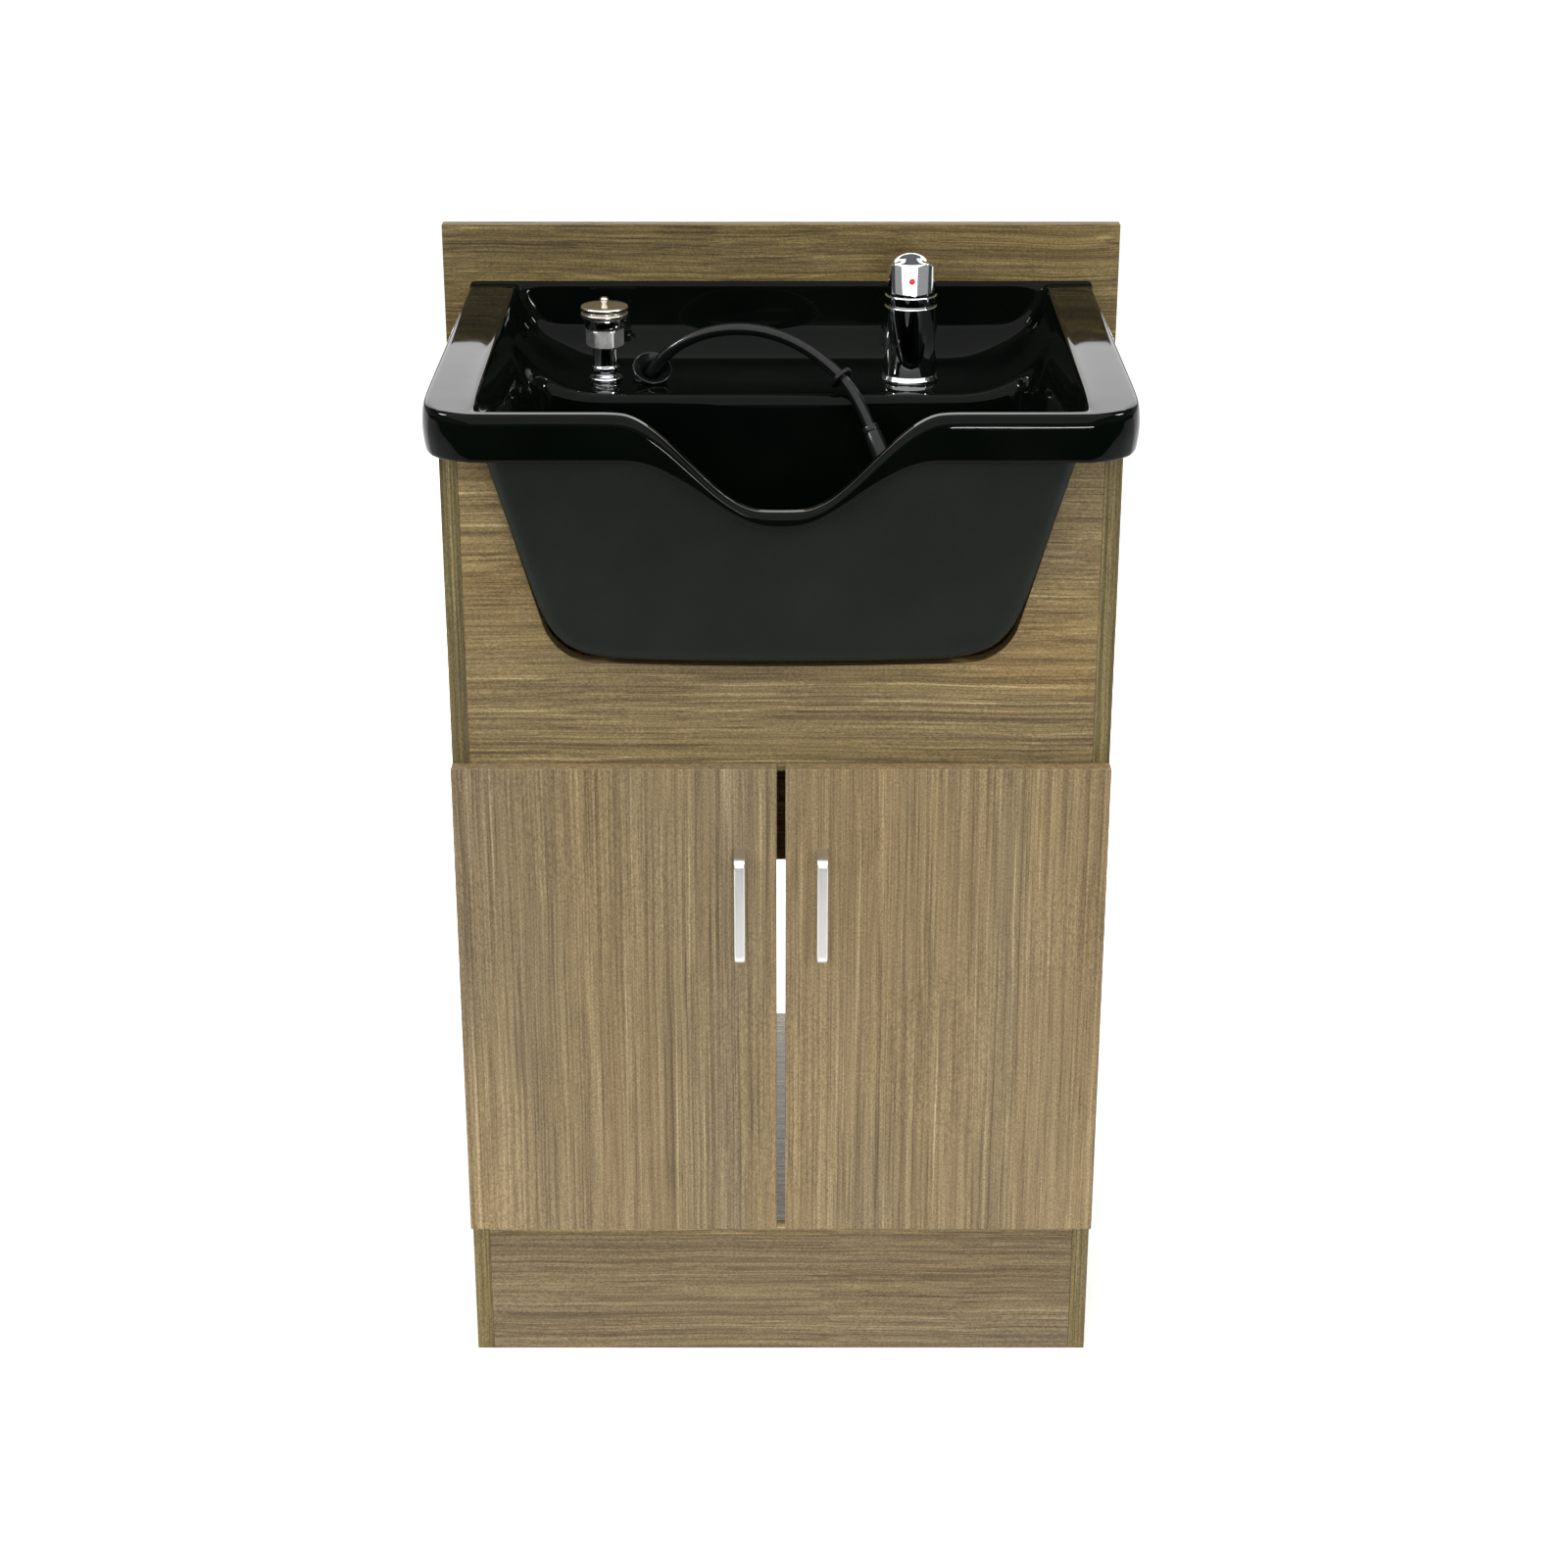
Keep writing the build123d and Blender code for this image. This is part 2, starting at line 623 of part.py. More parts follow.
def hose_collar():
    """A ring round the hose, on the straight part of its last run but one."""
    start, end = Vector(*HOSE_ROUTE[-3]), Vector(*HOSE_ROUTE[-2])
    plane = Plane(origin=start + (end - start) * COLLAR_AT, z_dir=end - start)
    ring = Cylinder(12.5, 4.5) - Cylinder(HOSE_R + 0.1, 10)
    return plane.location * fillet(ring.edges().sort_by(lambda e: -e.length)[:2], 1.5)


# ---- Everything, one node at a time ----

def build_cabinet():
    save(side_panel(), "left_side_panel")
    save(other_side(side_panel()), "right_side_panel")
    save(apron(), "apron_panel")
    save(drilled(between_sides((0, BOARD), (0, KICK_H))), "toe_kick")
    save(drilled(between_sides((0, CABINET_D), (KICK_H, FLOOR_TOP))), "cabinet_floor")
    save(between_sides((CABINET_D - BOARD, CABINET_D), (0, KICK_H)), "rear_base_rail")
    save(drilled(between_sides((CABINET_D - BOARD, CABINET_D), (BACK_BOTTOM, BACK_TOP))), "back_panel")
    save(backsplash(), "backsplash")
    save([cleat(), other_side(cleat())], "bowl_cleats")
    save(carcass_screws(), "carcass_screws")
    save(hanger_bracket(), "bowl_hanger_bracket")
    save(bracket_screws(), "bracket_screws")


def build_doors():
    pieces = {
        "door": door(),
        "handle": handle(),
        "handle_screws": handle_screws(),
        "hinge_cups": hinge_cups(),
        "hinge_arms": hinge_arms(),
    }
    for name, piece in pieces.items():
        save(piece, f"left_{name}")
        save(other_side(piece), f"right_{name}")


def build_bowl():
    save(bowl(), "bowl_shell")
    save(drain_body(), "drain_body")
    save(hair_strainer(), "hair_strainer")
    save(waste_ring((-8.4, -4.4), 31, DRAIN_TUBE_R + 0.1), "drain_gasket")
    save(hex_nut(0, DRAIN_Y, from_floor((-20, -8.4)), 58, DRAIN_TUBE_R + 0.1), "drain_locknut")
    save(tailpiece(), "drain_tailpiece")
    save(slip_nut(), "slip_nut")
    save(waste_ring((-49.4, -42.4), 21.9, TAIL_HELD_R), "slip_washer")


def build_tap():
    save(tap_base_ring(), "tap_base_ring")
    save(tap_body(), "tap_body")
    save(tap_ring(), "tap_trim_ring")
    save(post(TAP_X, TAP_Y, (905.2, 950.5), 17.8), "mixer_cartridge")
    save(spindle(), "mixer_spindle")
    save(lever_dome(), "lever_dome")
    save(lever_cap(), "lever_cap")
    save(index_dot(), "temperature_dot")
    save(pipe(TAP_X, TAP_Y, (SHANK_BOTTOM, TAP_BODY_Z[0]), SHANK_R, 13.2), "tap_shank")
    save(pipe(TAP_X, TAP_Y, (879.6, 882.8), 26, SHANK_R + 0.1), "tap_washer")
    save(hex_nut(TAP_X, TAP_Y, (868, 879.5), 46, SHANK_R + 0.1), "tap_locknut")
    save([supply_tail(TAP_X - TAIL_SPREAD), supply_tail(TAP_X + TAIL_SPREAD)], "supply_tails")
    save(transfer_tube(), "transfer_tube")


def build_breaker():
    save(fillet(breaker((DECK_Z, 891), 17).edges().group_by(Axis.Z)[-1], 1.5), "breaker_flange")
    save(breaker_body(), "breaker_body")
    save(hex_nut(BREAKER_X, BREAKER_Y, (922, 939), 33, 14.1), "breaker_hex_collar")
    save(breaker_cap(), "breaker_cap")
    save(fillet(breaker((963, 970), 4.5).edges().group_by(Axis.Z)[-1], 2), "breaker_knob")
    save(breaker_float(), "breaker_float")
    save(pipe(BREAKER_X, BREAKER_Y, (848, DECK_Z), 11.2, 9.0), "breaker_shank")
    save(hex_nut(BREAKER_X, BREAKER_Y, (873, 882.9), 30, 11.3), "breaker_locknut")
    save(outlet_tube(), "outlet_tube")


def build_spray():
    save(grommet(), "hose_grommet")
    save(grommet_nut(), "grommet_nut")
    save(spray_hose(), "spray_hose")
    save(hose_collar(), "hose_collar")
    save(along_spray(0, [(0, 7.5), (6, 8.5), (40, 10)]), "sprayer_handle")
    save(along_spray(40, [(0, 10.6), (8, 15), (16, 17)]), "sprayer_head")
    save(along_spray(56, [(0, 15.5), (2.5, 15.5), (4, 13)]), "spray_face")


build_cabinet()
build_doors()
build_bowl()
build_tap()
build_breaker()
build_spray()
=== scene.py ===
"""Looks for the salon shampoo unit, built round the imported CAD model.

Sizes are millimetres in the CAD's frame (+X right, +Y to the wall, +Z up); MM turns them into metres.
"""
import math

import bmesh
import bpy
from mathutils import Matrix, Vector


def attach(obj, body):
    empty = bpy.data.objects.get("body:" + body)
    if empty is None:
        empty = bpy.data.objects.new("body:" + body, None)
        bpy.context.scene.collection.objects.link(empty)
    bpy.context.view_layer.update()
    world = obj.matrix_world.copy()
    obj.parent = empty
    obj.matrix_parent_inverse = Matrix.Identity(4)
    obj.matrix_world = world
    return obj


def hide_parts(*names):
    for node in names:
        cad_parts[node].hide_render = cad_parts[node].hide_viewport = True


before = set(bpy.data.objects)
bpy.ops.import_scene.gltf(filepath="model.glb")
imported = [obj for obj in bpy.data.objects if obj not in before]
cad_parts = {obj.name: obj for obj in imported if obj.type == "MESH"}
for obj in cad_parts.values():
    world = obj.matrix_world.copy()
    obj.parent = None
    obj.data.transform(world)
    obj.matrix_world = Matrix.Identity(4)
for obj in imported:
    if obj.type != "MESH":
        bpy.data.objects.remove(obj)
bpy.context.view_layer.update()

MM = 0.001

# ---- Camera ----
CAMERA_AT = (0.0, -2.7367, 1.64124)
CAMERA_PITCH = 22.28                # degrees below level
CAMERA_LENS = 68.625
CAMERA_SHIFT_X = 0.0019

# ---- Spray hose: the route's points, in metres, as the CAD has them ----
HOSE_ROUTE = [
    (-0.130, 0.165, 0.893),
    (-0.117, 0.159, 0.912),
    (-0.093, 0.153, 0.931),
    (-0.058, 0.146, 0.943),
    (-0.018, 0.139, 0.9435),
    (0.018, 0.130, 0.932),
    (0.050, 0.116, 0.912),
    (0.074, 0.098, 0.888),
    (0.086, 0.083, 0.862),
]
HOSE_DIAMETER = 0.012
COLLAR_AT = 0.35                    # how far along the last run but one the collar sits

# ---- Bowl ----
RIM_Z = 965.0
RIM_HALF = 315.5
RIM_FRONT = -260.0
RIM_REAR = 242.0
CORNER_R = 58.0                     # the rim's front corners, seen from above
LIP_BOTTOM = 922.0
SHELL = 4.0                         # wall thickness
MOUTH_HALF = 267.0                  # half width of the basin's mouth at the rim
SIDE_LEAN = 0.295                   # how far each side wall leans in, for each millimetre down
FLOOR_Z = 734.0
FLOOR_SAG = 5.0                     # the floor's middle lies this much lower than its sides
SAG_FADES = 120.0                   # height above the floor where the sag has died away
FLOOR_CORNER_R = 42.0
FRONT_WALL = (-244.0, -232.0)       # y of the front wall's inner face at the rim and at the floor
BACK_WALL = (110.3, 90.3)
REAR_WALL = (236.0, 231.0)
DECK_Z = 887.0
DECK_CORNER_R = 58.0                # the deck runs up into the side walls over this
DECK_REAR_R = 44.0                  # and into the rear wall over this
REAR_BEAD = 4.0                     # height of the bead along the rim's rear edge
REAR_STEP = 4.5                     # spacing of the rows that shape it
NECK_DEPTH = 87.0                   # the neck rest is cut down this far into the rim
NECK_REACH = (15.0, 142.0)          # where the neck rest's slope starts and ends, from the middle
NECK_FOOT_Z = 790.0                 # the front wall follows the neck rest's curve down to here
SIDE_BEAD = 1.6                     # height of the fine bead along the mouth's sides
LIP_DIP = 61.0                      # the lip's lower edge drops by this under the neck rest
LIP_REACH = (6.0, 132.0)            # where that drop starts and ends, from the middle
LIP_SWELL = 3.0                     # the lip's face swells out by this at its middle

# Lines of the bowl's cage: half widths, shares of the basin's depth, and heights.
NECK_COLUMNS = [10.0 * i for i in range(1, 15)]
OUTER_COLUMNS = [165.0, 200.0, 235.0, MOUTH_HALF, 273.5, 290.0, 307.0, RIM_HALF]
STRIP_ROWS = [RIM_FRONT, RIM_FRONT + 8.0, RIM_FRONT + 12.5]
BASIN_ROWS = [0.0, 0.075, 0.2, 0.4, 0.6, 0.8, 0.925, 1.0]
DECK_ROWS = [0.1, 0.3, 0.6, 0.86, 1.0]
LEVELS = [FLOOR_Z, 755.0, 776.0, 820.0, 872.0, DECK_Z, 904.0, 921.0, 945.0, 959.5, RIM_Z]
LIP_STEPS = [0.19, 0.5, 0.9, 1.0]   # shares of the way down the lip

# ---- Fittings: each axis as (x, y) ----
DRAIN_AT = (0.0, -16.0)
TAP_AT = (128.0, 169.0)
BREAKER_AT = (-174.0, 165.0)
GROMMET_AT = (-130.0, 166.0)
BELL_Z = 889.0                      # foot of the grommet's bell mouth
BELL_FORWARD = 38.0                 # how far it leans forward and to the side, in degrees
BELL_ASIDE = 10.0

# Holes through the bowl: centre, radius, and the heights between which it is cut.
BOWL_HOLES = [
    (DRAIN_AT, 23.0, (715.0, 750.0)),
    (TAP_AT, 16.5, (870.0, 900.0)),
    (BREAKER_AT, 11.5, (870.0, 900.0)),
    (GROMMET_AT, 13.3, (870.0, 900.0)),
]

# ---- Mixer lever ----
LEVER_R = 25.2
LEVER_FOOT = 973.5
LEVER_FRONT_Z = 1003.0
LEVER_LEAN = 6.0                    # how far the lever's front leans back by the height of its top
LEVER_TAPER = 1.0                   # its radius is this much less at its top
LEVER_SLOPE = 0.2                   # rise of its top, for each millimetre to the back
LEVER_SIDE_FALL = 27.0              # its top falls this far at the sides
LEVER_SIDE_SPAN = (-16.0, 2.0)      # where that fall comes in, from front to back of its axis
LEVER_BACK_FALL = 20.0              # its top falls this far at the back
LEVER_BACK_START = 9.0              # where that fall starts, behind its axis
LEVER_BACK_SPAN = 17.0              # and over what length
LEVER_FOOT_CUT = 0.42 * LEVER_R     # its foot is cut away by this at the back, so that it can rock
LEVER_SEGMENTS = 96
DOT_Z = 989.0                       # the dot on the lever's front
DOT_TILT = 79.0                     # degrees from lying flat

# Rings of the lever's mesh: shares of its radius, then (share of the way down, inset), then inside it
# (radius, share of the way down, height), with None for the one of the last two that isn't used.
LEVER_TOP_RINGS = [0.12, 0.25, 0.38, 0.5, 0.61, 0.71, 0.8, 0.88, 0.94, 0.985]
LEVER_SIDE_RINGS = [(0.015, 0.0), (0.06, 0.0), (0.5, 0.0), (0.9, 0.0), (0.97, 0.0), (1.0, 0.5)]
LEVER_INNER_RINGS = [(21.5, 1.0, None), (20.9, 0.9, None), (14.0, None, 988.0), (3.0, None, 992.0)]

# ---- Laminates ----
OAK_MIDDLE = (134, 117, 83)         # the laminate's mean colour, in 8-bit display values

# Name, axis of the grain, shift of the pattern, scale of red, green and blue (tone and painted shade: the
# sides, kick and splash are darker copies of one print), wander in metres, contrast.
LAMINATES = {
    "door": ("door_laminate", 2, (0.0, 0.0, 0.0), (0.9, 0.875, 0.86), 0.004, 1.3),
    "upright": ("side_laminate", 2, (3.7, 1.3, 0.4), (0.62, 0.635, 0.47), 0.004, 1.9),
    "level": ("carcass_laminate", 0, (1.9, 5.2, 2.6), (0.9, 0.86, 0.71), 0.012, 1.8),
    "kick": ("kick_laminate", 0, (2.3, 4.1, 0.8), (0.65, 0.64, 0.63), 0.012, 1.5),
    "splash": ("splash_laminate", 0, (6.1, 2.2, 4.4), (0.575, 0.54, 0.34), 0.02, 2.1),
}

# ---- Studio ----
STUDIO_X = (-12000, 12000)          # edges of the floor
STUDIO_Y = (-1300, 18000)
SUN_POWER = 3.7
SUN_WIDTH = 110                     # degrees across
SUN_TURN = (30, 0, -12)             # degrees

# The surround: how far up a direction points, from 0 at the horizon to 1, and its grey.
SKY = [(0.0, 0.06), (0.02, 0.34), (0.2, 0.34), (0.34, 0.1), (1.0, 0.22)]

# Light cards: name, place, what each is aimed at, size and power, in metres and watts.
LIGHT_CARDS = [
    ("back_card", (0, 4.2, 2.2), (0, 0, 1.2), (5.5, 1.6), 59),
    ("low_back_card", (0, 1.9, 0.6), (0, 0.1, 0.2), (1.2, 0.5), 25),
    ("left_strip", (-2.4, -0.6, 2.3), (0, 0, 0.9), (0.25, 0.38), 38),
    ("right_strip", (2.4, -0.6, 2.3), (0, 0, 0.9), (0.25, 0.38), 38),
    ("level_strip", (0.95, -3.6, 0.9), (0.2, 0, 0.9), (1.3, 0.05), 26),
]


# ---- Small helpers ----

def smoothstep(low, high, value):
    """0 up to low, 1 from high, and an S-curve between them."""
    t = min(1.0, max(0.0, (value - low) / (high - low)))
    return t * t * (3 - 2 * t)


def blend_pair(pair, t):
    """The value that is t of the way from the first of the pair to the second."""
    return pair[0] + (pair[1] - pair[0]) * t


def apply_modifiers(obj):
    """Replace the object's mesh by its evaluated one, and drop its modifiers."""
    depsgraph = bpy.context.evaluated_depsgraph_get()
    mesh = bpy.data.meshes.new_from_object(obj.evaluated_get(depsgraph))
    obj.modifiers.clear()
    obj.data = mesh
    return obj


def smooth_shading(obj, angle):
    """Smooth the faces, but keep edges sharper than angle, in degrees, crisp."""
    for polygon in obj.data.polygons:
        polygon.use_smooth = True
    obj.data.set_sharp_from_angle(angle=math.radians(angle))
    return obj


def object_from(name, points, faces, materials):
    """A mesh object from points in millimetres."""
    mesh = bpy.data.meshes.new(name)
    mesh.from_pydata([[c * MM for c in p] for p in points], [], faces)
    mesh.validate()
    obj = bpy.data.objects.new(name, mesh)
    bpy.context.scene.collection.objects.link(obj)
    for material in materials:
        mesh.materials.append(material)
    return obj


def shift_to(at, z=0.0):
    """The matrix that moves a piece to (x, y) and a height, all in millimetres."""
    return Matrix.Translation((at[0] * MM, at[1] * MM, z * MM))


def place(obj, body, slot_name, *nodes):
    """Say what the piece rides on and which CAD nodes it stands for; slot_name, where its finish would come
    from, is not used.
    """
    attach(obj, body)
    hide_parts(*nodes)
    return obj


# ---- Camera ----

def make_camera():
    """The main view: from in front, looking a little down."""
    data = bpy.data.cameras.new("camera")
    data.lens = CAMERA_LENS
    data.sensor_width = 36.0
    data.shift_x = CAMERA_SHIFT_X
    data.clip_end = 100.0
    camera = bpy.data.objects.new("camera", data)
    camera.location = CAMERA_AT
    camera.rotation_euler = (math.radians(90 - CAMERA_PITCH), 0, 0)
    bpy.context.scene.collection.objects.link(camera)
    bpy.context.scene.camera = camera


# ---- Materials ----

def new_material(name):
    """A node material, with its node tree and its Principled shader."""
    material = bpy.data.materials.new(name)
    material.use_nodes = True
    tree = material.node_tree
    return material, tree, tree.nodes["Principled BSDF"]


def add(tree, kind, **values):
    """A node of that kind; values set its properties, or inputs named with _ for each space."""
    node = tree.nodes.new(kind)
    for key, value in values.items():
        if hasattr(node, key):
            setattr(node, key, value)
        else:
            node.inputs[key.replace("_", " ")].default_value = value
    return node


def stretched_coordinates(tree, scale, offset=(0.0, 0.0, 0.0), waves=0.0):
    """The frame's coordinates, waved, multiplied by scale along each axis, and shifted by offset."""
    vector = add(tree, "ShaderNodeTexCoord").outputs["Object"]
    if waves:
        vector = wavy(tree, vector, waves)
    mapping = add(tree, "ShaderNodeMapping")
    mapping.inputs["Scale"].default_value = scale
    mapping.inputs["Location"].default_value = offset
    tree.links.new(vector, mapping.inputs["Vector"])
    return mapping.outputs["Vector"]


def wavy(tree, vector, amount):
    """The coordinates, moved about by broad noise of amount metres, so that straight grain wanders."""
    waves = add(tree, "ShaderNodeTexNoise", Scale=4.5, Detail=2.0)
    tree.links.new(vector, waves.inputs["Vector"])
    centred = add(tree, "ShaderNodeVectorMath", operation="SUBTRACT")
    centred.inputs[1].default_value = (0.5, 0.5, 0.5)
    tree.links.new(waves.outputs["Color"], centred.inputs[0])
    scaled = add(tree, "ShaderNodeVectorMath", operation="SCALE")
    scaled.inputs["Scale"].default_value = amount
    tree.links.new(centred.outputs["Vector"], scaled.inputs[0])
    total = add(tree, "ShaderNodeVectorMath", operation="ADD")
    tree.links.new(vector, total.inputs[0])
    tree.links.new(scaled.outputs["Vector"], total.inputs[1])
    return total.outputs["Vector"]


def noise(tree, vector, scale, detail, roughness=0.5, distortion=0.0):
    """A noise texture's value at the coordinates."""
    node = add(tree, "ShaderNodeTexNoise", Scale=scale, Detail=detail, Roughness=roughness)
    node.inputs["Distortion"].default_value = distortion
    tree.links.new(vector, node.inputs["Vector"])
    return node.outputs["Fac"]


def ramp(tree, value, stops):
    """A colour ramp: stops are (position, (r, g, b)) or (position, grey)."""
    node = add(tree, "ShaderNodeValToRGB")
    elements = node.color_ramp.elements
    while len(elements) < len(stops):
        elements.new(0.5)
    for element, (position, colour) in zip(elements, stops):
        grey = isinstance(colour, float)
        element.position = position
        element.color = (colour, colour, colour, 1) if grey else (*colour, 1)
    tree.links.new(value, node.inputs["Fac"])
    return node.outputs["Color"]


def mix_colour(tree, factor, first, second, mode="MIX"):
    """Two colours mixed, or the first multiplied by the second, by a factor from 0 to 1."""
    node = add(tree, "ShaderNodeMix", data_type="RGBA", blend_type=mode)
    node.inputs[0].default_value = factor
    tree.links.new(first, node.inputs[6])
    tree.links.new(second, node.inputs[7])
    return node.outputs[2]


def add_bump(tree, shader, height, strength, distance):
    """Fine relief on the shader, distance in metres."""
    node = add(tree, "ShaderNodeBump", Strength=strength, Distance=distance)
    tree.links.new(height, node.inputs["Height"])
    tree.links.new(node.outputs["Normal"], shader.inputs["Normal"])


def linear(red, green, blue):
    """The linear colour of three 8-bit display values."""
    def channel(value):
        c = value / 255
        return c / 12.92 if c <= 0.04045 else ((c + 0.055) / 1.055) ** 2.4
    return (channel(red), channel(green), channel(blue))


def laminate(name, along, offset, tone_and_painted_shade, waves, contrast):
    """Printed oak laminate, from a row of LAMINATES; the row's colour scale carries painted shade for the
    darker panels.
    """
    material, tree, shader = new_material(name)

    def grain(across_scale, along_scale, **settings):
        """Noise drawn out along the grain."""
        scale = [across_scale] * 3
        scale[along] = along_scale
        return noise(tree, stretched_coordinates(tree, scale, offset, waves), 1.0, **settings)

    def tone(*colour):
        """A tone of the print, given in 8-bit display values, times the row's colour scale, which holds
        painted shade.
        """
        spread = [middle + (value - middle) * contrast for value, middle in zip(colour, OAK_MIDDLE)]
        return tuple(c * factor for c, factor in zip(linear(*spread), tone_and_painted_shade))

    def shade(colour, amount, value, stops):
        """The colour, multiplied in part by a ramp of the value."""
        return mix_colour(tree, amount, colour, ramp(tree, value, stops), mode="MULTIPLY")

    patches = grain(9.0, 1.1, detail=2.0, distortion=0.6)
    streaks = grain(300.0, 2.2, detail=5.0, roughness=0.66, distortion=0.35)
    fibres = grain(700.0, 6.0, detail=3.0, roughness=0.62, distortion=0.25)
    pores = grain(1000.0, 20.0, detail=2.0)
    speckle = grain(800.0, 420.0, detail=2.0)
    lines = ramp(tree, streaks, [
        (0.35, tone(98, 81, 54)),
        (0.45, tone(124, 107, 75)),
        (0.55, tone(139, 122, 88)),
        (0.62, tone(149, 132, 97)),
        (0.69, tone(174, 157, 121)),
    ])
    hue = ramp(tree, patches, [
        (0.32, tone(126, 113, 90)),
        (0.5, tone(138, 120, 87)),
        (0.68, tone(151, 129, 90)),
    ])
    colour = mix_colour(tree, 0.32, lines, hue)
    colour = shade(colour, 0.8, fibres, [(0.36, 0.6), (0.48, 0.96), (0.66, 1.04)])
    colour = shade(colour, 0.4, pores, [(0.36, 0.45), (0.43, 1.0)])
    colour = shade(colour, 0.7, speckle, [(0.33, 0.5), (0.67, 1.32)])
    tree.links.new(colour, shader.inputs["Base Color"])
    tree.links.new(ramp(tree, fibres, [(0.3, 0.62), (0.7, 0.48)]), shader.inputs["Roughness"])
    shader.inputs["Specular IOR Level"].default_value = 0.3
    add_bump(tree, shader, fibres, 0.25, 0.0004)
    return material


def gloss_black():
    """Polished black ABS, with the faintest waviness of a moulded sheet."""
    material, tree, shader = new_material("gloss_black")
    coordinates = stretched_coordinates(tree, (1, 1, 1))
    wave = noise(tree, coordinates, 14.0, detail=1.0)
    haze = noise(tree, coordinates, 60.0, detail=3.0)
    tree.links.new(ramp(tree, haze, [(0.3, 0.025), (0.7, 0.06)]), shader.inputs["Roughness"])
    tint = ramp(tree, wave, [(0.3, linear(3, 6, 4)), (0.7, linear(6, 9, 6))])
    tree.links.new(tint, shader.inputs["Base Color"])
    shader.inputs["Specular IOR Level"].default_value = 0.08
    add_bump(tree, shader, wave, 0.06, 0.004)
    return material


def matt_black():
    """The unpolished outside of the bowl."""
    material, tree, shader = new_material("matt_black")
    coordinates = stretched_coordinates(tree, (1, 1, 1))
    grain = noise(tree, coordinates, 900.0, detail=4.0, roughness=0.7)
    cloud = noise(tree, coordinates, 12.0, detail=3.0)
    tint = ramp(tree, cloud, [(0.3, linear(14, 18, 15)), (0.7, linear(20, 24, 20))])
    tree.links.new(tint, shader.inputs["Base Color"])
    tree.links.new(ramp(tree, grain, [(0.3, 0.5), (0.7, 0.66)]), shader.inputs["Roughness"])
    shader.inputs["Specular IOR Level"].default_value = 0.16
    add_bump(tree, shader, grain, 0.35, 0.0003)
    return material


def metal(name, colour, roughness, brushed=None, wear=0.03):
    """A metal. brushed scales the coordinates, to draw out its lines; wear varies its roughness."""
    material, tree, shader = new_material(name)
    shader.inputs["Metallic"].default_value = 1.0
    coordinates = stretched_coordinates(tree, brushed or (1, 1, 1))
    lines = noise(tree, coordinates, 1.0 if brushed else 240.0, detail=3.0, roughness=0.6)
    rough = ramp(tree, lines, [(0.3, max(0.02, roughness - wear)), (0.7, roughness + wear)])
    tree.links.new(rough, shader.inputs["Roughness"])
    dull = tuple(c * 0.93 for c in colour)
    tree.links.new(ramp(tree, lines, [(0.3, dull), (0.7, colour)]), shader.inputs["Base Color"])
    if brushed:
        add_bump(tree, shader, lines, 0.12, 0.0002)
    return material


def moulded(name, colour, roughness, grain_scale=500.0, strength=0.2):
    """Plain moulded plastic or rubber with a fine spark-eroded grain."""
    material, tree, shader = new_material(name)
    coordinates = stretched_coordinates(tree, (1, 1, 1))
    grain = noise(tree, coordinates, grain_scale, detail=3.0)
    darker = tuple(c * 0.85 for c in colour)
    tree.links.new(ramp(tree, grain, [(0.3, darker), (0.7, colour)]), shader.inputs["Base Color"])
    rough = ramp(tree, grain, [(0.3, roughness - 0.05), (0.7, roughness + 0.05)])
    tree.links.new(rough, shader.inputs["Roughness"])
    shader.inputs["Specular IOR Level"].default_value = 0.3
    add_bump(tree, shader, grain, strength, 0.0002)
    return material


def make_materials():
    """Every finish, by its short name."""
    materials = {key: laminate(*row) for key, row in LAMINATES.items()}
    materials.update({
        "gloss": gloss_black(),
        "matt": matt_black(),
        "chrome": metal("polished_chrome", (0.86, 0.87, 0.89), 0.05),
        "satin_chrome": metal("satin_chrome", (0.93, 0.92, 0.90), 0.36),
        "nickel": metal("satin_nickel", (0.78, 0.73, 0.64), 0.24),
        "aluminium": metal("satin_aluminium", (0.75, 0.74, 0.72), 0.34, brushed=(900, 900, 20)),
        "zinc": metal("zinc_steel", (0.62, 0.63, 0.65), 0.32),
        "brass": metal("brass", (0.74, 0.58, 0.30), 0.26),
        "copper": metal("copper_tube", (0.78, 0.45, 0.31), 0.3),
        "plastic": moulded("black_plastic", linear(15, 16, 16), 0.28),
        "rubber": moulded("black_rubber", linear(13, 14, 14), 0.2, grain_scale=900.0, strength=0.05),
        "white": moulded("white_plastic", linear(222, 221, 214), 0.4),
        "red": moulded("red_dot", linear(214, 38, 40), 0.25, strength=0.02),
    })
    return materials


# ---- Bowl ----

def round_off(u, v):
    """Map the corner of a unit square onto a quarter disc, its rows and columns onto arcs."""
    reach = max(u, v)
    if reach == 0:
        return (0.0, 0.0)
    if v >= u:
        turn = math.pi / 4 * u / v
        return (reach * math.sin(turn), reach * math.cos(turn))
    turn = math.pi / 4 * v / u
    return (reach * math.cos(turn), reach * math.sin(turn))


def mouth_half(z):
    """Half the basin's width at a height."""
    return MOUTH_HALF + (z - RIM_Z) * SIDE_LEAN


def neck_drop(x):
    """How far the rim is cut down for the neck at x."""
    return NECK_DEPTH * (1 - smoothstep(*NECK_REACH, abs(x)))


def lip_dip(x):
    """How far the lip's lower edge drops at x."""
    return LIP_DIP * (1 - smoothstep(*LIP_REACH, abs(x)))


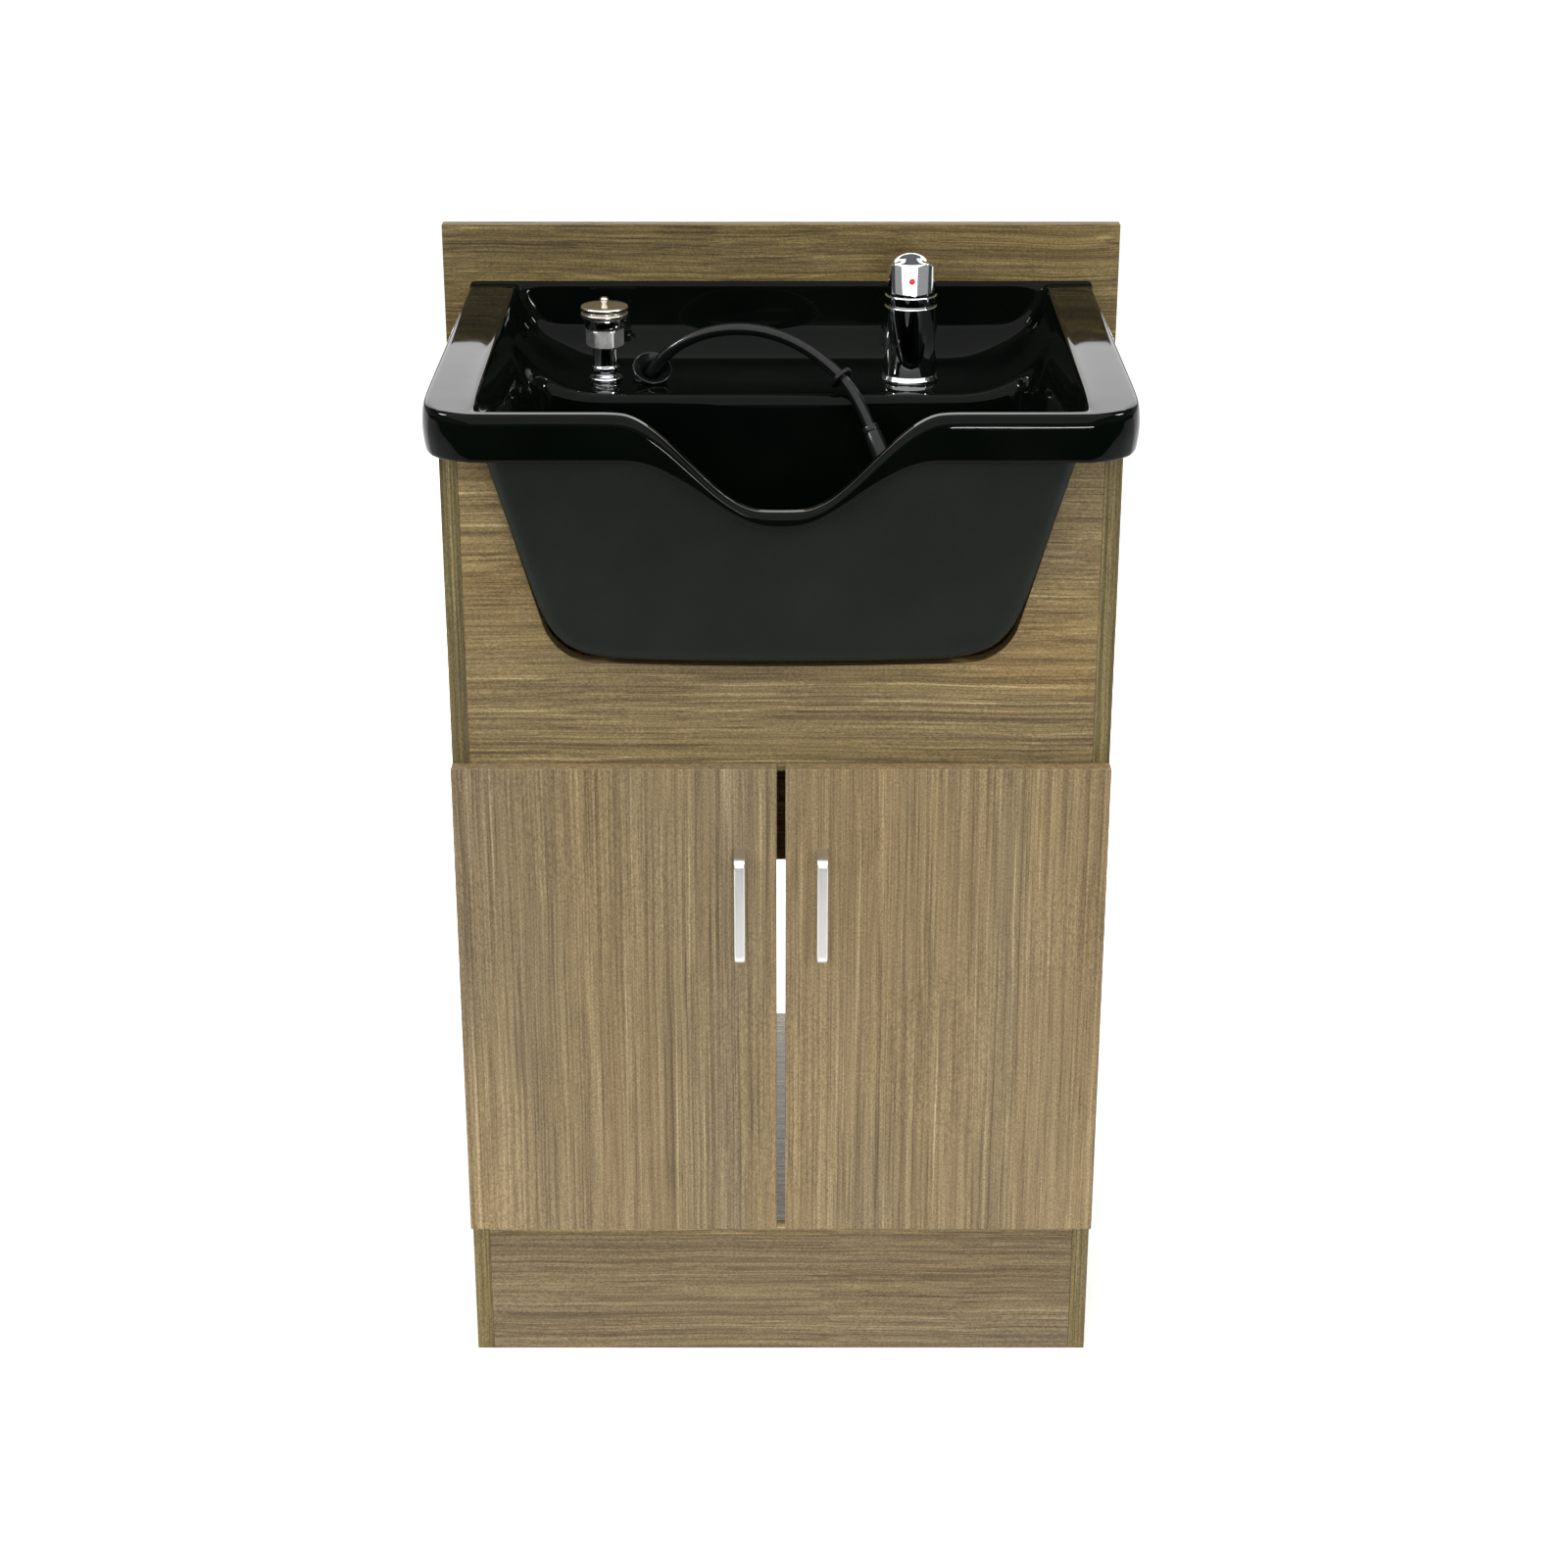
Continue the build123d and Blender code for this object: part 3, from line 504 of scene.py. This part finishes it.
class BowlCage:
    """The cage of the bowl's visible face: a basin and a deck behind it, a rim round both, and a lip.

    A vertex is named by its column across, its row from front to back, and its level; levels past the
    rim's are the steps down the lip.
    """

    def __init__(self):
        half = NECK_COLUMNS + OUTER_COLUMNS
        self.columns = [-x for x in reversed(half)] + [0.0] + half
        self.left = self.columns.index(-MOUTH_HALF)
        self.right = self.columns.index(MOUTH_HALF)
        self.front = len(STRIP_ROWS)
        self.edge = self.front + len(BASIN_ROWS) - 1
        self.back = self.edge + len(DECK_ROWS)
        self.rear = self.back + 2
        self.deck = LEVELS.index(DECK_Z)
        self.top = len(LEVELS) - 1
        self.points = []
        self.names = {}
        self.faces = []

    def depth(self, row, z):
        """Y of a row at a height."""
        fall = (RIM_Z - z) / (RIM_Z - FLOOR_Z)
        if row < self.front:
            return STRIP_ROWS[row]
        if row > self.back:
            return RIM_REAR - REAR_STEP * (self.rear - row)
        wall = blend_pair(FRONT_WALL, fall)
        edge = blend_pair(BACK_WALL, fall)
        if row <= self.edge:
            return wall + (edge - wall) * BASIN_ROWS[row - self.front]
        rear = blend_pair(REAR_WALL, fall)
        return edge + (rear - edge) * DECK_ROWS[row - self.edge - 1]

    def inside_point(self, column, row, level):
        """A point of the basin or the deck, with the corners at their sides and rear rounded."""
        z = LEVELS[level]
        share = self.columns[column] / MOUTH_HALF
        on_deck = row >= self.edge and level >= self.deck
        corner_r = DECK_CORNER_R if on_deck else FLOOR_CORNER_R
        bottom = DECK_Z if on_deck else FLOOR_Z
        x = share * mouth_half(z)
        inset = mouth_half(z) - abs(x)
        rise = z - bottom
        if abs(share) <= 1 and inset < corner_r and rise < corner_r:
            u, v = round_off(1 - inset / corner_r, 1 - rise / corner_r)
            z = bottom + corner_r * (1 - v)
            x = math.copysign(mouth_half(z) - corner_r * (1 - u), share)
        y = self.depth(row, z)
        behind = self.depth(self.back, z) - y
        if on_deck and behind < DECK_REAR_R and z - DECK_Z < DECK_REAR_R:
            u, v = round_off(1 - behind / DECK_REAR_R, 1 - (z - DECK_Z) / DECK_REAR_R)
            z = DECK_Z + DECK_REAR_R * (1 - v)
            y += behind - DECK_REAR_R * (1 - u)
        if level < self.deck:
            sag = FLOOR_SAG * (x / mouth_half(FLOOR_Z)) ** 2
            z += sag * max(0.0, 1 - (z - FLOOR_Z) / SAG_FADES)
        if row == self.front:
            weight = max(0.0, (z - NECK_FOOT_Z) / (RIM_Z - NECK_FOOT_Z))
            z -= neck_drop(x) * weight
            y = self.depth(row, z)
        return (x, y, z)

    def rim_point(self, column, row, level):
        """A point of the rim, or of the lip under its outer edge."""
        x = self.columns[column]
        y = self.depth(row, RIM_Z)
        step = LIP_STEPS[level - self.top - 1] if level > self.top else 0.0
        inset = LIP_SWELL * (2 * step - 1) ** 2
        if row == 0:
            y += inset
        if abs(x) == RIM_HALF:
            x -= math.copysign(inset, x)

        top = RIM_Z
        if row <= self.front:
            top -= neck_drop(x)
        if row > self.back:
            top += REAR_BEAD
        if abs(x) == MOUTH_HALF and self.front < row < self.back:
            top += SIDE_BEAD
        if level > self.top:
            low = LIP_BOTTOM - (lip_dip(x) if row <= self.front else 0.0)
            top += (low - top) * step

        u = (abs(x) - (RIM_HALF - CORNER_R)) / CORNER_R
        v = (RIM_FRONT + CORNER_R - y) / CORNER_R
        if u > 0 and v > 0:
            u, v = round_off(u, v)
            x = math.copysign(RIM_HALF - CORNER_R + u * CORNER_R, x)
            y = RIM_FRONT + CORNER_R - v * CORNER_R
        return (x, y, top)

    def vertex(self, column, row, level):
        """The index of the named vertex, which is made when it is first asked for."""
        name = (column, row, level)
        if name not in self.names:
            make = self.rim_point if level >= self.top else self.inside_point
            self.names[name] = len(self.points)
            self.points.append(make(column, row, level))
        return self.names[name]

    def grid(self, first, second, to_name):
        """Quads over two spans of indices; to_name turns a pair into a vertex's name."""
        for a in range(*first):
            for b in range(*second):
                corners = ((a, b), (a + 1, b), (a + 1, b + 1), (a, b + 1))
                self.faces.append([self.vertex(*to_name(*pair)) for pair in corners])

    def build(self):
        """All the faces: floor, deck, walls from front to back, sides, rim and lip."""
        across = (self.left, self.right)
        self.grid(across, (self.front, self.edge), lambda a, b: (a, b, 0))
        self.grid(across, (self.edge, self.back), lambda a, b: (a, b, self.deck))
        self.grid(across, (0, self.top), lambda a, b: (a, self.front, b))
        self.grid(across, (0, self.deck), lambda a, b: (a, self.edge, b))
        self.grid(across, (self.deck, self.top), lambda a, b: (a, self.back, b))
        for side in across:
            self.grid((self.front, self.edge), (0, self.top), lambda a, b: (side, a, b))
            self.grid((self.edge, self.back), (self.deck, self.top), lambda a, b: (side, a, b))
        last = len(self.columns) - 1
        self.grid((0, last), (0, self.front), lambda a, b: (a, b, self.top))
        self.grid((0, last), (self.back, self.rear), lambda a, b: (a, b, self.top))
        for span in ((0, self.left), (self.right, last)):
            self.grid(span, (self.front, self.back), lambda a, b: (a, b, self.top))
        steps = (self.top, self.top + len(LIP_STEPS))
        self.grid((0, last), steps, lambda a, b: (a, 0, b))
        for side in (0, last):
            self.grid((0, self.rear), steps, lambda a, b: (side, a, b))


def make_post(centre, radius, heights, segments=64):
    """A closed round post, to cut a hole with."""
    points = []
    for height in heights:
        for i in range(segments):
            angle = 2 * math.pi * i / segments
            x = centre[0] + radius * math.cos(angle)
            y = centre[1] + radius * math.sin(angle)
            points.append((x, y, height))
    faces = []
    for i in range(segments):
        following = (i + 1) % segments
        faces.append([i, following, segments + following, segments + i])
    faces.append(list(reversed(range(segments))))
    faces.append(list(range(segments, 2 * segments)))
    return object_from("cutter", points, faces, [])


def face_upward(obj):
    """Make the faces' directions agree, with the first one facing up."""
    shape = bmesh.new()
    shape.from_mesh(obj.data)
    bmesh.ops.recalc_face_normals(shape, faces=shape.faces)
    shape.faces.ensure_lookup_table()
    if shape.faces[0].normal.z < 0:
        bmesh.ops.reverse_faces(shape, faces=shape.faces)
    shape.to_mesh(obj.data)
    shape.free()


def make_bowl(materials):
    """The bowl: its cage thickened into a shell, rounded, and pierced for the drain and the fittings."""
    cage = BowlCage()
    cage.build()
    bowl = object_from("bowl", cage.points, cage.faces, [materials["gloss"], materials["matt"]])
    face_upward(bowl)
    thick = bowl.modifiers.new("thickness", "SOLIDIFY")
    thick.thickness = SHELL * MM
    thick.offset = -1
    thick.use_even_offset = True
    thick.material_offset = 1
    rounding = bowl.modifiers.new("rounding", "SUBSURF")
    rounding.levels = 2
    rounding.render_levels = 2
    apply_modifiers(bowl)
    for centre, radius, heights in BOWL_HOLES:
        cutter = make_post(centre, radius, heights)
        cut = bowl.modifiers.new("hole", "BOOLEAN")
        cut.operation = "DIFFERENCE"
        cut.object = cutter
        cut.solver = "EXACT"
        apply_modifiers(bowl)
        bpy.data.objects.remove(cutter)
    smooth_shading(bowl, 50.0)
    return place(bowl, "cabinet", "bowl_plastic", "bowl_shell")


# ---- Turned pieces ----

def lathe(name, outline, material, at=None, turn=None, segments=96, soften=0.35):
    """A turned piece from a closed outline of (radius, height). It stands at (x, y), or turn places it."""
    points = []
    for i in range(segments):
        angle = 2 * math.pi * i / segments
        for radius, height in outline:
            points.append((radius * math.cos(angle), radius * math.sin(angle), height))
    count = len(outline)
    faces = []
    for i in range(segments):
        following = (i + 1) % segments
        for j in range(count):
            k = (j + 1) % count
            faces.append([i * count + j, following * count + j, following * count + k, i * count + k])
    obj = object_from(name, points, faces, [material])
    shape = bmesh.new()
    shape.from_mesh(obj.data)
    bmesh.ops.remove_doubles(shape, verts=shape.verts, dist=1e-6)
    bmesh.ops.recalc_face_normals(shape, faces=shape.faces)
    shape.to_mesh(obj.data)
    shape.free()
    if soften:
        bevel = obj.modifiers.new("soften", "BEVEL")
        bevel.width = soften * MM
        bevel.segments = 3
        bevel.limit_method = "ANGLE"
        bevel.angle_limit = math.radians(28)
        apply_modifiers(obj)
    if turn is None:
        turn = shift_to(at)
    obj.data.transform(turn)
    smooth_shading(obj, 40.0)
    return obj


def turned(name, outline, finish, slot_name, node, **where):
    """A turned piece that is fixed to the cabinet, in the place of one CAD node."""
    return place(lathe(name, outline, finish, **where), "cabinet", slot_name, node)


# ---- Mixer tap ----

def lever_top(x, y):
    """Height of the lever's top face: it rises to a tip at the back and falls away at the sides."""
    rise = LEVER_FRONT_Z + LEVER_SLOPE * (y + LEVER_R)
    side = 1 - math.sqrt(max(0.0, 1 - (x / (LEVER_R + 0.4)) ** 2))
    behind = max(0.0, y - LEVER_BACK_START) / LEVER_BACK_SPAN
    side_fall = LEVER_SIDE_FALL * smoothstep(*LEVER_SIDE_SPAN, y) * side
    back_fall = LEVER_BACK_FALL * (1 - math.sqrt(max(0.0, 1 - behind * behind)))
    return rise - side_fall - back_fall


def lever_side(angle, share, inset=0.0):
    """A point of the lever's outline, share of the way from its top to its foot; the front leans back."""
    radius = LEVER_R - inset - LEVER_TAPER * (1 - share)
    lean = LEVER_LEAN * (1 - share) * max(0.0, -math.sin(angle))
    return (radius * math.cos(angle), radius * math.sin(angle) + lean)


def lever_height(angle, share):
    """Height on the lever's side, share of the way from its top to its foot."""
    top = lever_top(*lever_side(angle, 0.0))
    foot = LEVER_FOOT + LEVER_FOOT_CUT * max(0.0, math.sin(angle))
    return top + (foot - top) * share


def lever_points():
    """Rings over the lever's top, then down its side and up inside, over the dome."""
    turns = [2 * math.pi * i / LEVER_SEGMENTS for i in range(LEVER_SEGMENTS)]
    points = [(0, 0, lever_top(0, 0))]
    for share in LEVER_TOP_RINGS:
        for angle in turns:
            x, y = (c * share for c in lever_side(angle, 0.0))
            points.append((x, y, lever_top(x, y)))
    for share, inset in LEVER_SIDE_RINGS:
        for angle in turns:
            points.append((*lever_side(angle, share, inset), lever_height(angle, share)))
    for radius, share, fixed in LEVER_INNER_RINGS:
        for angle in turns:
            height = fixed or lever_height(angle, share)
            points.append((radius * math.cos(angle), radius * math.sin(angle), height))
    return points


def make_lever(materials):
    """The lever cap: a fan at the middle of its top, then bands from ring to ring, and a lid inside."""
    segments = LEVER_SEGMENTS
    points = lever_points()
    count = (len(points) - 1) // segments
    faces = [[0, 1 + i, 1 + (i + 1) % segments] for i in range(segments)]
    for ring in range(count - 1):
        for i in range(segments):
            a = 1 + ring * segments
            b = a + segments
            following = (i + 1) % segments
            faces.append([a + i, b + i, b + following, a + following])
    faces.append([1 + (count - 1) * segments + i for i in range(segments)])
    lever = object_from("lever", points, faces, [materials["chrome"]])
    lever.data.transform(shift_to(TAP_AT))
    smooth_shading(lever, 42.0)
    return place(lever, "mixer_lever", "polished_chrome", "lever_cap")


def make_tap(materials):
    """The mixer's foot, column and ring, the lever on them, and the dot on the lever's front."""
    chrome = materials["chrome"]
    foot = [(16.3, 887.05), (29, 887.05), (29, 889.6), (27.8, 891.2), (26.9, 893), (16.3, 893)]
    turned("tap_foot", foot, chrome, "polished_chrome", "tap_base_ring", at=TAP_AT)
    body = [(0, 893), (26, 893), (26, 961.2), (25.2, 962), (18.3, 962), (18.3, 905), (0, 905)]
    turned("tap_column", body, chrome, "polished_chrome", "tap_body", at=TAP_AT)
    trim = [
        (18.5, 962.1), (25.0, 962.1), (25.0, 963.0), (25.7, 963.6), (25.7, 972.0), (24.7, 973), (18.5, 973),
    ]
    turned("tap_ring", trim, chrome, "polished_chrome", "tap_trim_ring", at=TAP_AT)
    make_lever(materials)
    dot_at = (TAP_AT[0], TAP_AT[1] - LEVER_R + 0.55 * LEVER_LEAN)
    turn = shift_to(dot_at, DOT_Z) @ Matrix.Rotation(math.radians(DOT_TILT), 4, "X")
    dot = [(0, -1.0), (3.0, -1.0), (3.0, 0.3), (2.4, 0.6), (1.2, 0.72), (0, 0.75)]
    dot_piece = lathe("index_dot", dot, materials["red"], turn=turn, soften=0)
    place(dot_piece, "mixer_lever", "red_dot", "temperature_dot")


# ---- Vacuum breaker ----

def hexagon(name, flats, z, bore, material, at):
    """A hexagonal collar. Its corners are turned off, and more so at both ends."""
    segments = 96
    bevel = 1.1
    bottom, top = z
    widest = flats / math.sqrt(3) * 0.985
    at_ends = widest * 0.94
    points = []
    levels = [(bottom, at_ends), (bottom + bevel, widest), (top - bevel, widest), (top, at_ends)]
    for height, limit in levels:
        for i in range(segments):
            angle = 2 * math.pi * i / segments
            within = (angle % (math.pi / 3)) - math.pi / 6
            flat_reach = flats / 2 / math.cos(within)
            reach = min(flat_reach, limit)
            points.append((reach * math.cos(angle), reach * math.sin(angle), height))
    for height in (top, bottom):
        for i in range(segments):
            angle = 2 * math.pi * i / segments
            points.append((bore * math.cos(angle), bore * math.sin(angle), height))
    faces = []
    rings = len(levels) + 2
    for ring in range(rings):
        for i in range(segments):
            a = ring * segments
            b = ((ring + 1) % rings) * segments
            following = (i + 1) % segments
            faces.append([a + i, a + following, b + following, b + i])
    obj = object_from(name, points, faces, [material])
    obj.data.transform(shift_to(at))
    smooth_shading(obj, 18.0)
    return obj


def make_breaker(materials):
    """The vacuum breaker: foot, waisted column, hexagonal collar, two-tier lid and button."""
    chrome = materials["chrome"]
    nickel = materials["nickel"]
    foot = [(11.6, 887.05), (17, 887.05), (17, 890), (15.8, 891), (11.6, 891)]
    turned("breaker_foot", foot, chrome, "polished_chrome", "breaker_flange", at=BREAKER_AT)
    body = [
        (0, 891), (12, 891), (12, 893), (14, 894.5), (14, 901), (12, 902.5), (12, 921.5), (14, 922),
        (14, 939.2), (19.2, 939.8), (20.6, 943), (20.6, 949.8), (16, 949.8), (16, 940), (10, 940),
        (10, 925), (0, 925),
    ]
    turned("breaker_column", body, chrome, "polished_chrome", "breaker_body", at=BREAKER_AT)
    collar = hexagon("breaker_hexagon", 33, (922, 939), 14.1, materials["satin_chrome"], BREAKER_AT)
    place(collar, "cabinet", "polished_chrome", "breaker_hex_collar")
    lid = [
        (0, 950), (22.3, 950), (23.4, 951.2), (23.4, 954.4), (22.6, 955.2), (21.0, 955.6), (21.0, 956.8),
        (22.9, 957.2), (23.5, 958.6), (23.5, 960.6), (22.6, 961.6), (12, 962.9), (0, 963.2),
    ]
    turned("breaker_lid", lid, nickel, "satin_nickel", "breaker_cap", at=BREAKER_AT)
    knob = [(0, 963.2), (3.2, 963.2), (3.0, 965), (4.4, 966.6), (4.4, 968.2), (3.0, 969.8), (0, 970)]
    turned("breaker_button", knob, nickel, "satin_nickel", "breaker_knob", at=BREAKER_AT, soften=0.2)


# ---- Spray ----

def spline_points(curve):
    """Points along a curve's own line."""
    mesh = bpy.data.meshes.new_from_object(curve)
    points = [v.co.copy() for v in mesh.vertices]
    bpy.data.meshes.remove(mesh)
    return points


def axis_turn(origin, direction):
    """The matrix that puts a turned piece's foot at origin, standing along direction."""
    return Matrix.Translation(origin) @ direction.to_track_quat("Z", "Y").to_matrix().to_4x4()


def make_hose_curve(materials):
    """The hose as a curve with a round section, and the points along its centre line."""
    data = bpy.data.curves.new("spray_hose_line", "CURVE")
    data.dimensions = "3D"
    spline = data.splines.new("NURBS")
    spline.points.add(len(HOSE_ROUTE) - 1)
    for point, co in zip(spline.points, HOSE_ROUTE):
        point.co = (*co, 1.0)
    spline.order_u = 3
    spline.use_endpoint_u = True
    data.resolution_u = 24
    hose = bpy.data.objects.new("hose", data)
    bpy.context.scene.collection.objects.link(hose)
    line = spline_points(hose)
    data.bevel_depth = HOSE_DIAMETER / 2
    data.bevel_resolution = 10
    data.use_fill_caps = True
    data.materials.append(materials["rubber"])
    place(hose, "cabinet", "black_rubber", "spray_hose")
    return hose, line


def make_spray(materials):
    """The hose with its collar, and the hand spray at its end."""
    plastic = materials["plastic"]
    hose, line = make_hose_curve(materials)
    start, end = Vector(HOSE_ROUTE[-3]), Vector(HOSE_ROUTE[-2])
    target = start.lerp(end, COLLAR_AT)
    nearest = min(range(1, len(line) - 1), key=lambda i: (line[i] - target).length)
    along = line[nearest + 1] - line[nearest - 1]
    ring = [(6.05, -2.4), (11.2, -2.4), (12.5, -1.4), (12.5, 1.4), (11.2, 2.4), (6.05, 2.4)]
    collar_turn = axis_turn(line[nearest], along)
    collar = turned("collar", ring, plastic, "black_plastic", "hose_collar", turn=collar_turn)
    aim = (Vector(HOSE_ROUTE[-1]) - Vector(HOSE_ROUTE[-2])).normalized()
    turn = axis_turn(Vector(HOSE_ROUTE[-1]), aim)
    handle = [
        (0, 0), (7.5, 0), (8.3, 2), (8.3, 6), (7.7, 7), (8.6, 9), (9.2, 22), (10, 36), (10, 39.6),
        (9.6, 40), (0, 40),
    ]
    bell = [(0, 40), (10.6, 40), (12.2, 44), (15.4, 49), (17, 53), (17, 55.2), (16.4, 56), (0, 56)]
    rose = [(0, 56), (15.5, 56), (15.5, 58), (14.4, 59.2), (12, 60), (0, 60)]
    pieces = [
        turned("spray_handle", handle, plastic, "black_plastic", "sprayer_handle", turn=turn),
        turned("spray_bell", bell, plastic, "black_plastic", "sprayer_head", turn=turn),
        turned("spray_rose", rose, materials["chrome"], "polished_chrome", "spray_face", turn=turn),
    ]


def make_grommet(materials):
    """The bell mouth that the hose comes out of, leaning forward, over a flange on the deck."""
    flange = [(13.1, 887.05), (17.5, 887.05), (17.5, 889), (16.6, 890), (13.1, 890)]
    base = lathe("grommet_flange", flange, materials["plastic"], GROMMET_AT)
    forward = Matrix.Rotation(math.radians(BELL_FORWARD), 4, "X")
    aside = Matrix.Rotation(math.radians(BELL_ASIDE), 4, "Y")
    turn = shift_to(GROMMET_AT, BELL_Z) @ (forward @ aside)
    horn = [
        (7.6, -1), (7.6, 4), (9.0, 8), (12.4, 11.6), (16.0, 14.0), (17.6, 15.8), (18.6, 16.4),
        (19.6, 16.0), (20.0, 15.0), (19.6, 13.8), (17.0, 10.6), (14.2, 6.0), (13.0, 2.0), (13.0, -1),
    ]
    mouth = lathe("grommet_mouth", horn, materials["rubber"], turn=turn, soften=0)
    smooth_shading(mouth, 80.0)
    place(base, "cabinet", "black_plastic", "hose_grommet")
    place(mouth, "cabinet", "black_rubber", "hose_grommet")


# ---- CAD nodes that stay, with better finishes ----

# The nodes that get each finish.
CARRIED_OVER = {
    "door": ["left_door", "right_door"],
    "upright": ["left_side_panel", "right_side_panel"],
    "kick": ["toe_kick"],
    "level": ["apron_panel", "back_panel", "cabinet_floor", "rear_base_rail", "bowl_cleats"],
    "splash": ["backsplash"],
    "aluminium": ["left_handle", "right_handle"],
    "chrome": ["drain_body", "hair_strainer", "lever_dome", "tap_shank", "breaker_shank"],
    "zinc": [
        "left_hinge_arms", "right_hinge_arms", "left_hinge_cups", "right_hinge_cups",
        "left_handle_screws", "right_handle_screws", "carcass_screws", "bracket_screws",
        "bowl_hanger_bracket", "slip_nut",
    ],
    "brass": ["tap_locknut", "breaker_locknut", "mixer_spindle", "mixer_cartridge"],
    "copper": ["supply_tails", "transfer_tube", "outlet_tube"],
    "plastic": ["grommet_nut", "drain_locknut"],
    "rubber": ["tap_washer", "drain_gasket"],
    "white": ["drain_tailpiece", "slip_washer", "breaker_float"],
}


def finish_cad_nodes(materials):
    """Put the finishes on the CAD nodes that stay, and smooth their curved faces."""
    for key, names in CARRIED_OVER.items():
        for name in names:
            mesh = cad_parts[name].data
            mesh.materials.clear()
            mesh.materials.append(materials[key])
            for polygon in mesh.polygons:
                polygon.use_smooth = True
            mesh.set_sharp_from_angle(angle=math.radians(32))


# ---- Floor and light ----

def make_floor():
    """A plain pale floor. It stops short in front, so that the bowl's front face doesn't mirror it."""
    material, tree, shader = new_material("floor_paper")
    mottle = noise(tree, stretched_coordinates(tree, (1, 1, 1)), 3.0, detail=2.0)
    tree.links.new(ramp(tree, mottle, [(0.3, 0.88), (0.7, 0.9)]), shader.inputs["Base Color"])
    shader.inputs["Roughness"].default_value = 0.9
    shader.inputs["Specular IOR Level"].default_value = 0.1
    left, right = STUDIO_X
    near, far = STUDIO_Y
    corners = [(left, near, 0), (right, near, 0), (right, far, 0), (left, far, 0)]
    object_from("floor", corners, [[0, 1, 2, 3]], [material])


def make_world():
    """A grey surround that is palest near the horizon."""
    world = bpy.data.worlds.new("studio")
    world.use_nodes = True
    tree = world.node_tree
    direction = add(tree, "ShaderNodeTexCoord")
    height = add(tree, "ShaderNodeSeparateXYZ")
    tree.links.new(direction.outputs["Generated"], height.inputs["Vector"])
    tree.links.new(ramp(tree, height.outputs["Z"], SKY), tree.nodes["Background"].inputs["Color"])
    bpy.context.scene.world = world


def make_sun():
    """A very wide, soft sun from above the camera."""
    data = bpy.data.lights.new("sun", "SUN")
    data.energy = SUN_POWER
    data.angle = math.radians(SUN_WIDTH)
    sun = bpy.data.objects.new("sun", data)
    sun.rotation_euler = [math.radians(turn) for turn in SUN_TURN]
    bpy.context.scene.collection.objects.link(sun)


def area_light(name, location, target, size, power):
    """A rectangular light card, which the camera itself doesn't see."""
    data = bpy.data.lights.new(name, "AREA")
    data.shape = "RECTANGLE"
    data.size, data.size_y = size
    data.energy = power
    light = bpy.data.objects.new(name, data)
    light.visible_camera = False
    light.location = location
    aim = Vector(target) - Vector(location)
    light.rotation_euler = aim.to_track_quat("-Z", "Y").to_euler()
    bpy.context.scene.collection.objects.link(light)


def make_studio():
    """The floor, the surround and the lights."""
    make_floor()
    make_world()
    make_sun()
    for card in LIGHT_CARDS:
        area_light(*card)
    bpy.context.scene.view_settings.view_transform = "Standard"


def main():
    make_camera()
    materials = make_materials()
    make_spray(materials)
    make_bowl(materials)
    make_tap(materials)
    make_breaker(materials)
    make_grommet(materials)
    finish_cad_nodes(materials)
    make_studio()


main()
